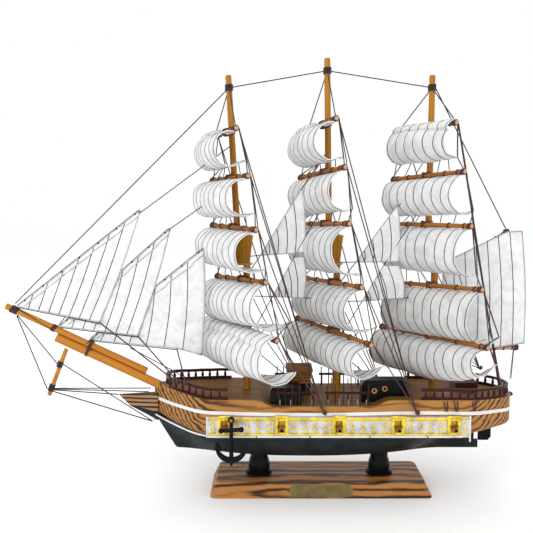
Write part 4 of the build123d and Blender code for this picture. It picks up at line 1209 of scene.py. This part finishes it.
# the lower edge of the wooden hull ahead of the gun strips, and the hook where it meets the stem
WATERLINE = [(-163.5, 73.6), (-158.0, 72.6), (-150.0, 71.2), (-138.0, 69.2), (-124.0, 67.0), (-109.0, 64.6)]
STEM_HOOK = [(-158.0, 0.0, 69.5), (-161.0, 0.0, 67.5), (-164.5, 0.0, 67.0), (-166.4, 0.0, 65.4),
             (-165.0, 0.0, 64.0)]


def make_waterline():
    """White line along the upper hull's lower edge at the bow, ahead of the gun strips."""
    build = Build()
    knots = np.array(WATERLINE)
    stations = np.linspace(knots[0, 0], knots[-1, 0], 50)
    heights = np.interp(stations, knots[:, 0], knots[:, 1])
    points = node_points("upper_hull")
    edge = points[(points[:, 0] < STRIP_X0 + 3.0) & (points[:, 1] < 0.01)]
    reach = np.zeros(len(stations))
    for i, (x, z) in enumerate(zip(stations, heights)):
        close = edge[np.hypot(edge[:, 0] - x, edge[:, 2] - z) < 5.0]
        reach[i] = 0.2 - (close[:, 1].min() if len(close) else 0.0)
    for _ in range(8):
        reach[1:-1] = (reach[:-2] + reach[1:-1] * 2 + reach[2:]) / 4
    for side in (-1, 1):
        build.tube(np.stack([stations, side * reach, heights], 1), 0.8, 8)
    build.tube(STEM_HOOK, 0.7, 8)
    build.piece("bow_waterline", "white", "root", "white_trim")


# ---------------------------------------------------------------- tops, deck and small parts

# height and outer radius of the bucket's foot and rim
NEST_WALL = ((223.8, 6.8), (250.8, 10.0))
STAVE_T = 1.5
STAVES = 16


def nest_stave(build, x, start, end):
    """A wedge of the bucket's wall between two angles."""
    points = []
    for z, outer in NEST_WALL:
        for r, a in itertools.product((outer - STAVE_T, outer), (start, (start + end) / 2, end)):
            points.append((x + r * math.cos(a), r * math.sin(a), z))
    build.add(points, [(0, 1, 4, 3), (1, 2, 5, 4), (6, 9, 10, 7), (7, 10, 11, 8), (3, 4, 10, 9),
                       (4, 5, 11, 10), (0, 6, 7, 1), (1, 7, 8, 2), (0, 3, 9, 6), (2, 8, 11, 5)])


def make_nests():
    """Bucket tops of upright staves with two hoops, on pale round ledges."""
    staves, ledges = Build(), Build()
    (low, _), (high, _) = NEST_WALL
    turn = np.linspace(0, math.tau, 40, endpoint=False)
    for mast_x, heel_x, *_ in MASTS.values():
        x = (mast_x + heel_x) / 2
        for k in range(STAVES):
            nest_stave(staves, x, math.tau * (k + 0.06) / STAVES, math.tau * (k + 0.94) / STAVES)
        for z, r in ((low + 2.0, 7.15), (high - 1.4, 9.95)):
            staves.tube(np.stack([x + r * np.cos(turn), r * np.sin(turn), np.full(40, z)], 1), 0.45, 8, True)
        staves.lathe([(0, low + 0.2), (6.4, low + 0.2), (9.0, high - 3.0), (0, high - 3.0)], (x, 0, 0), 32)
        ledges.lathe([(0, low - 1.8), (9.0, low - 1.8), (9.6, low - 1.3), (9.6, low - 0.5), (9.0, low),
                      (0, low)], (x, 0, 0), 40)
    staves.piece("nest_staves", "nest", "root", "nest_wood", ["crows_nests"], smooth=False)
    ledges.piece("nest_ledges", "pale", "root", "nest_wood", ["crows_nests"], smooth=False)


LOOP_X = (114.0, 123.5, 131.5, 141.0)
# one loop: place along the ship, distance out from the hull's side, and height
LOOP = [(-1.4, -3.0, 99.4), (-1.0, 0.9, 97.0), (0.0, 1.3, 92.0), (0.6, 1.2, 88.6), (2.0, 1.2, 88.4),
        (2.4, 1.2, 92.0), (2.0, 0.9, 97.0), (1.6, -3.0, 99.4)]


def make_stern_loops():
    """Threads that hang from the stern rail over the ship's side in four narrow loops."""
    build = Build()
    for side, x in itertools.product((-1, 1), LOOP_X):
        y = side_y("hull", x)
        build.tube([(x + dx, side * (y + dy), z) for dx, dy, z in LOOP], 0.6, 6)
    turn = np.linspace(0, math.tau * 2.4, 60)
    knot = np.stack([189.5 + 1.7 * np.cos(turn), 1.8 * np.sin(turn * 1.7), 93.0 + 1.6 * np.sin(turn)], 1)
    build.tube(knot, 0.7, 6)
    build.piece("stern_loops", "brown", "root", "brown_thread")


PIN_RAILS = ((-44.0, -6.0), (2.0, 46.0))
PIN_Y = 38.0
PIN_DECK_Z = 92.5


def make_pin_lines():
    """Thin falls from the deck pins up to the pin rail beside each mast."""
    falls, wood = Build(), Build()
    for (x0, x1), y in itertools.product(PIN_RAILS, (-PIN_Y, PIN_Y)):
        wood.block((x0, y - 0.9, 103.0), (x1, y + 0.9, 105.2), 0.3)
        for x in np.linspace(x0 + 3.0, x1 - 3.0, 3):
            wood.block((x - 0.8, y - 0.8, PIN_DECK_Z), (x + 0.8, y + 0.8, 104.0), 0.2)
        for x in np.linspace(x0 + 2.5, x1 - 2.5, 6):
            falls.thread((x, y, PIN_DECK_Z + 0.1), (x, y, 112.0), 0.54)
    wood.piece("pin_rails", "rail", "root", "rail_wood", smooth=False)
    falls.piece("pin_falls", "dark", "root", "black_thread")


CAD_LOOKS = {
    "board": ["base_board"],
    "brass": ["name_plate"],
    "black": ["bow_stand_post", "stern_stand_post", "rudder", "deck_cabin", "long_cabin"],
    "steel": ["stand_screws", "deck_pins"],
    "lower": ["lower_hull"],
    "hull": ["upper_hull"],
    "deck": ["deck_planking"],
    "beak": ["beakhead"],
    "silver": ["gun_strips"],
    "gun": ["cannons"],
    "white": ["sheer_stripe"],
    "rail": ["bow_rail", "stern_rail", "stern_hatch"],
    "sprit": ["bowsprit", "jib_boom", "dolphin_striker"],
    "house": ["deck_house"],
    "copper": ["portholes", "anchor_hooks"],
    "iron": ["port_anchor", "starboard_anchor"],
    "mast": ["fore_mast", "main_mast", "mizzen_mast"],
    "yard": ["fore_yards", "main_yards", "mizzen_yards", "spanker_spars"],
}


def finish_cad_nodes():
    """Materials for the CAD nodes that stay in view."""
    for look, nodes in CAD_LOOKS.items():
        for node in nodes:
            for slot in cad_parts[node].material_slots:
                slot.material = MATERIALS[look]


make_camera()
make_stage()
finish_cad_nodes()
for number, mast_name in enumerate(MASTS):
    sail_grids = [make_square_sail(mast_name, level, FIRST_SEED + SEED_STEP * (5 * number + level))
                  for level in range(5)]
    make_yard_threads(mast_name, sail_grids)
    make_backstays(mast_name)
make_fore_and_aft_sails()
make_stays()
make_sail_stays()
make_jib_threads()
make_jib_sheets()
make_boom_lashings()
make_spanker_threads()
make_gun_strip()
make_cannon_trim()
make_waterline()
make_nests()
make_stern_loops()
make_pin_lines()
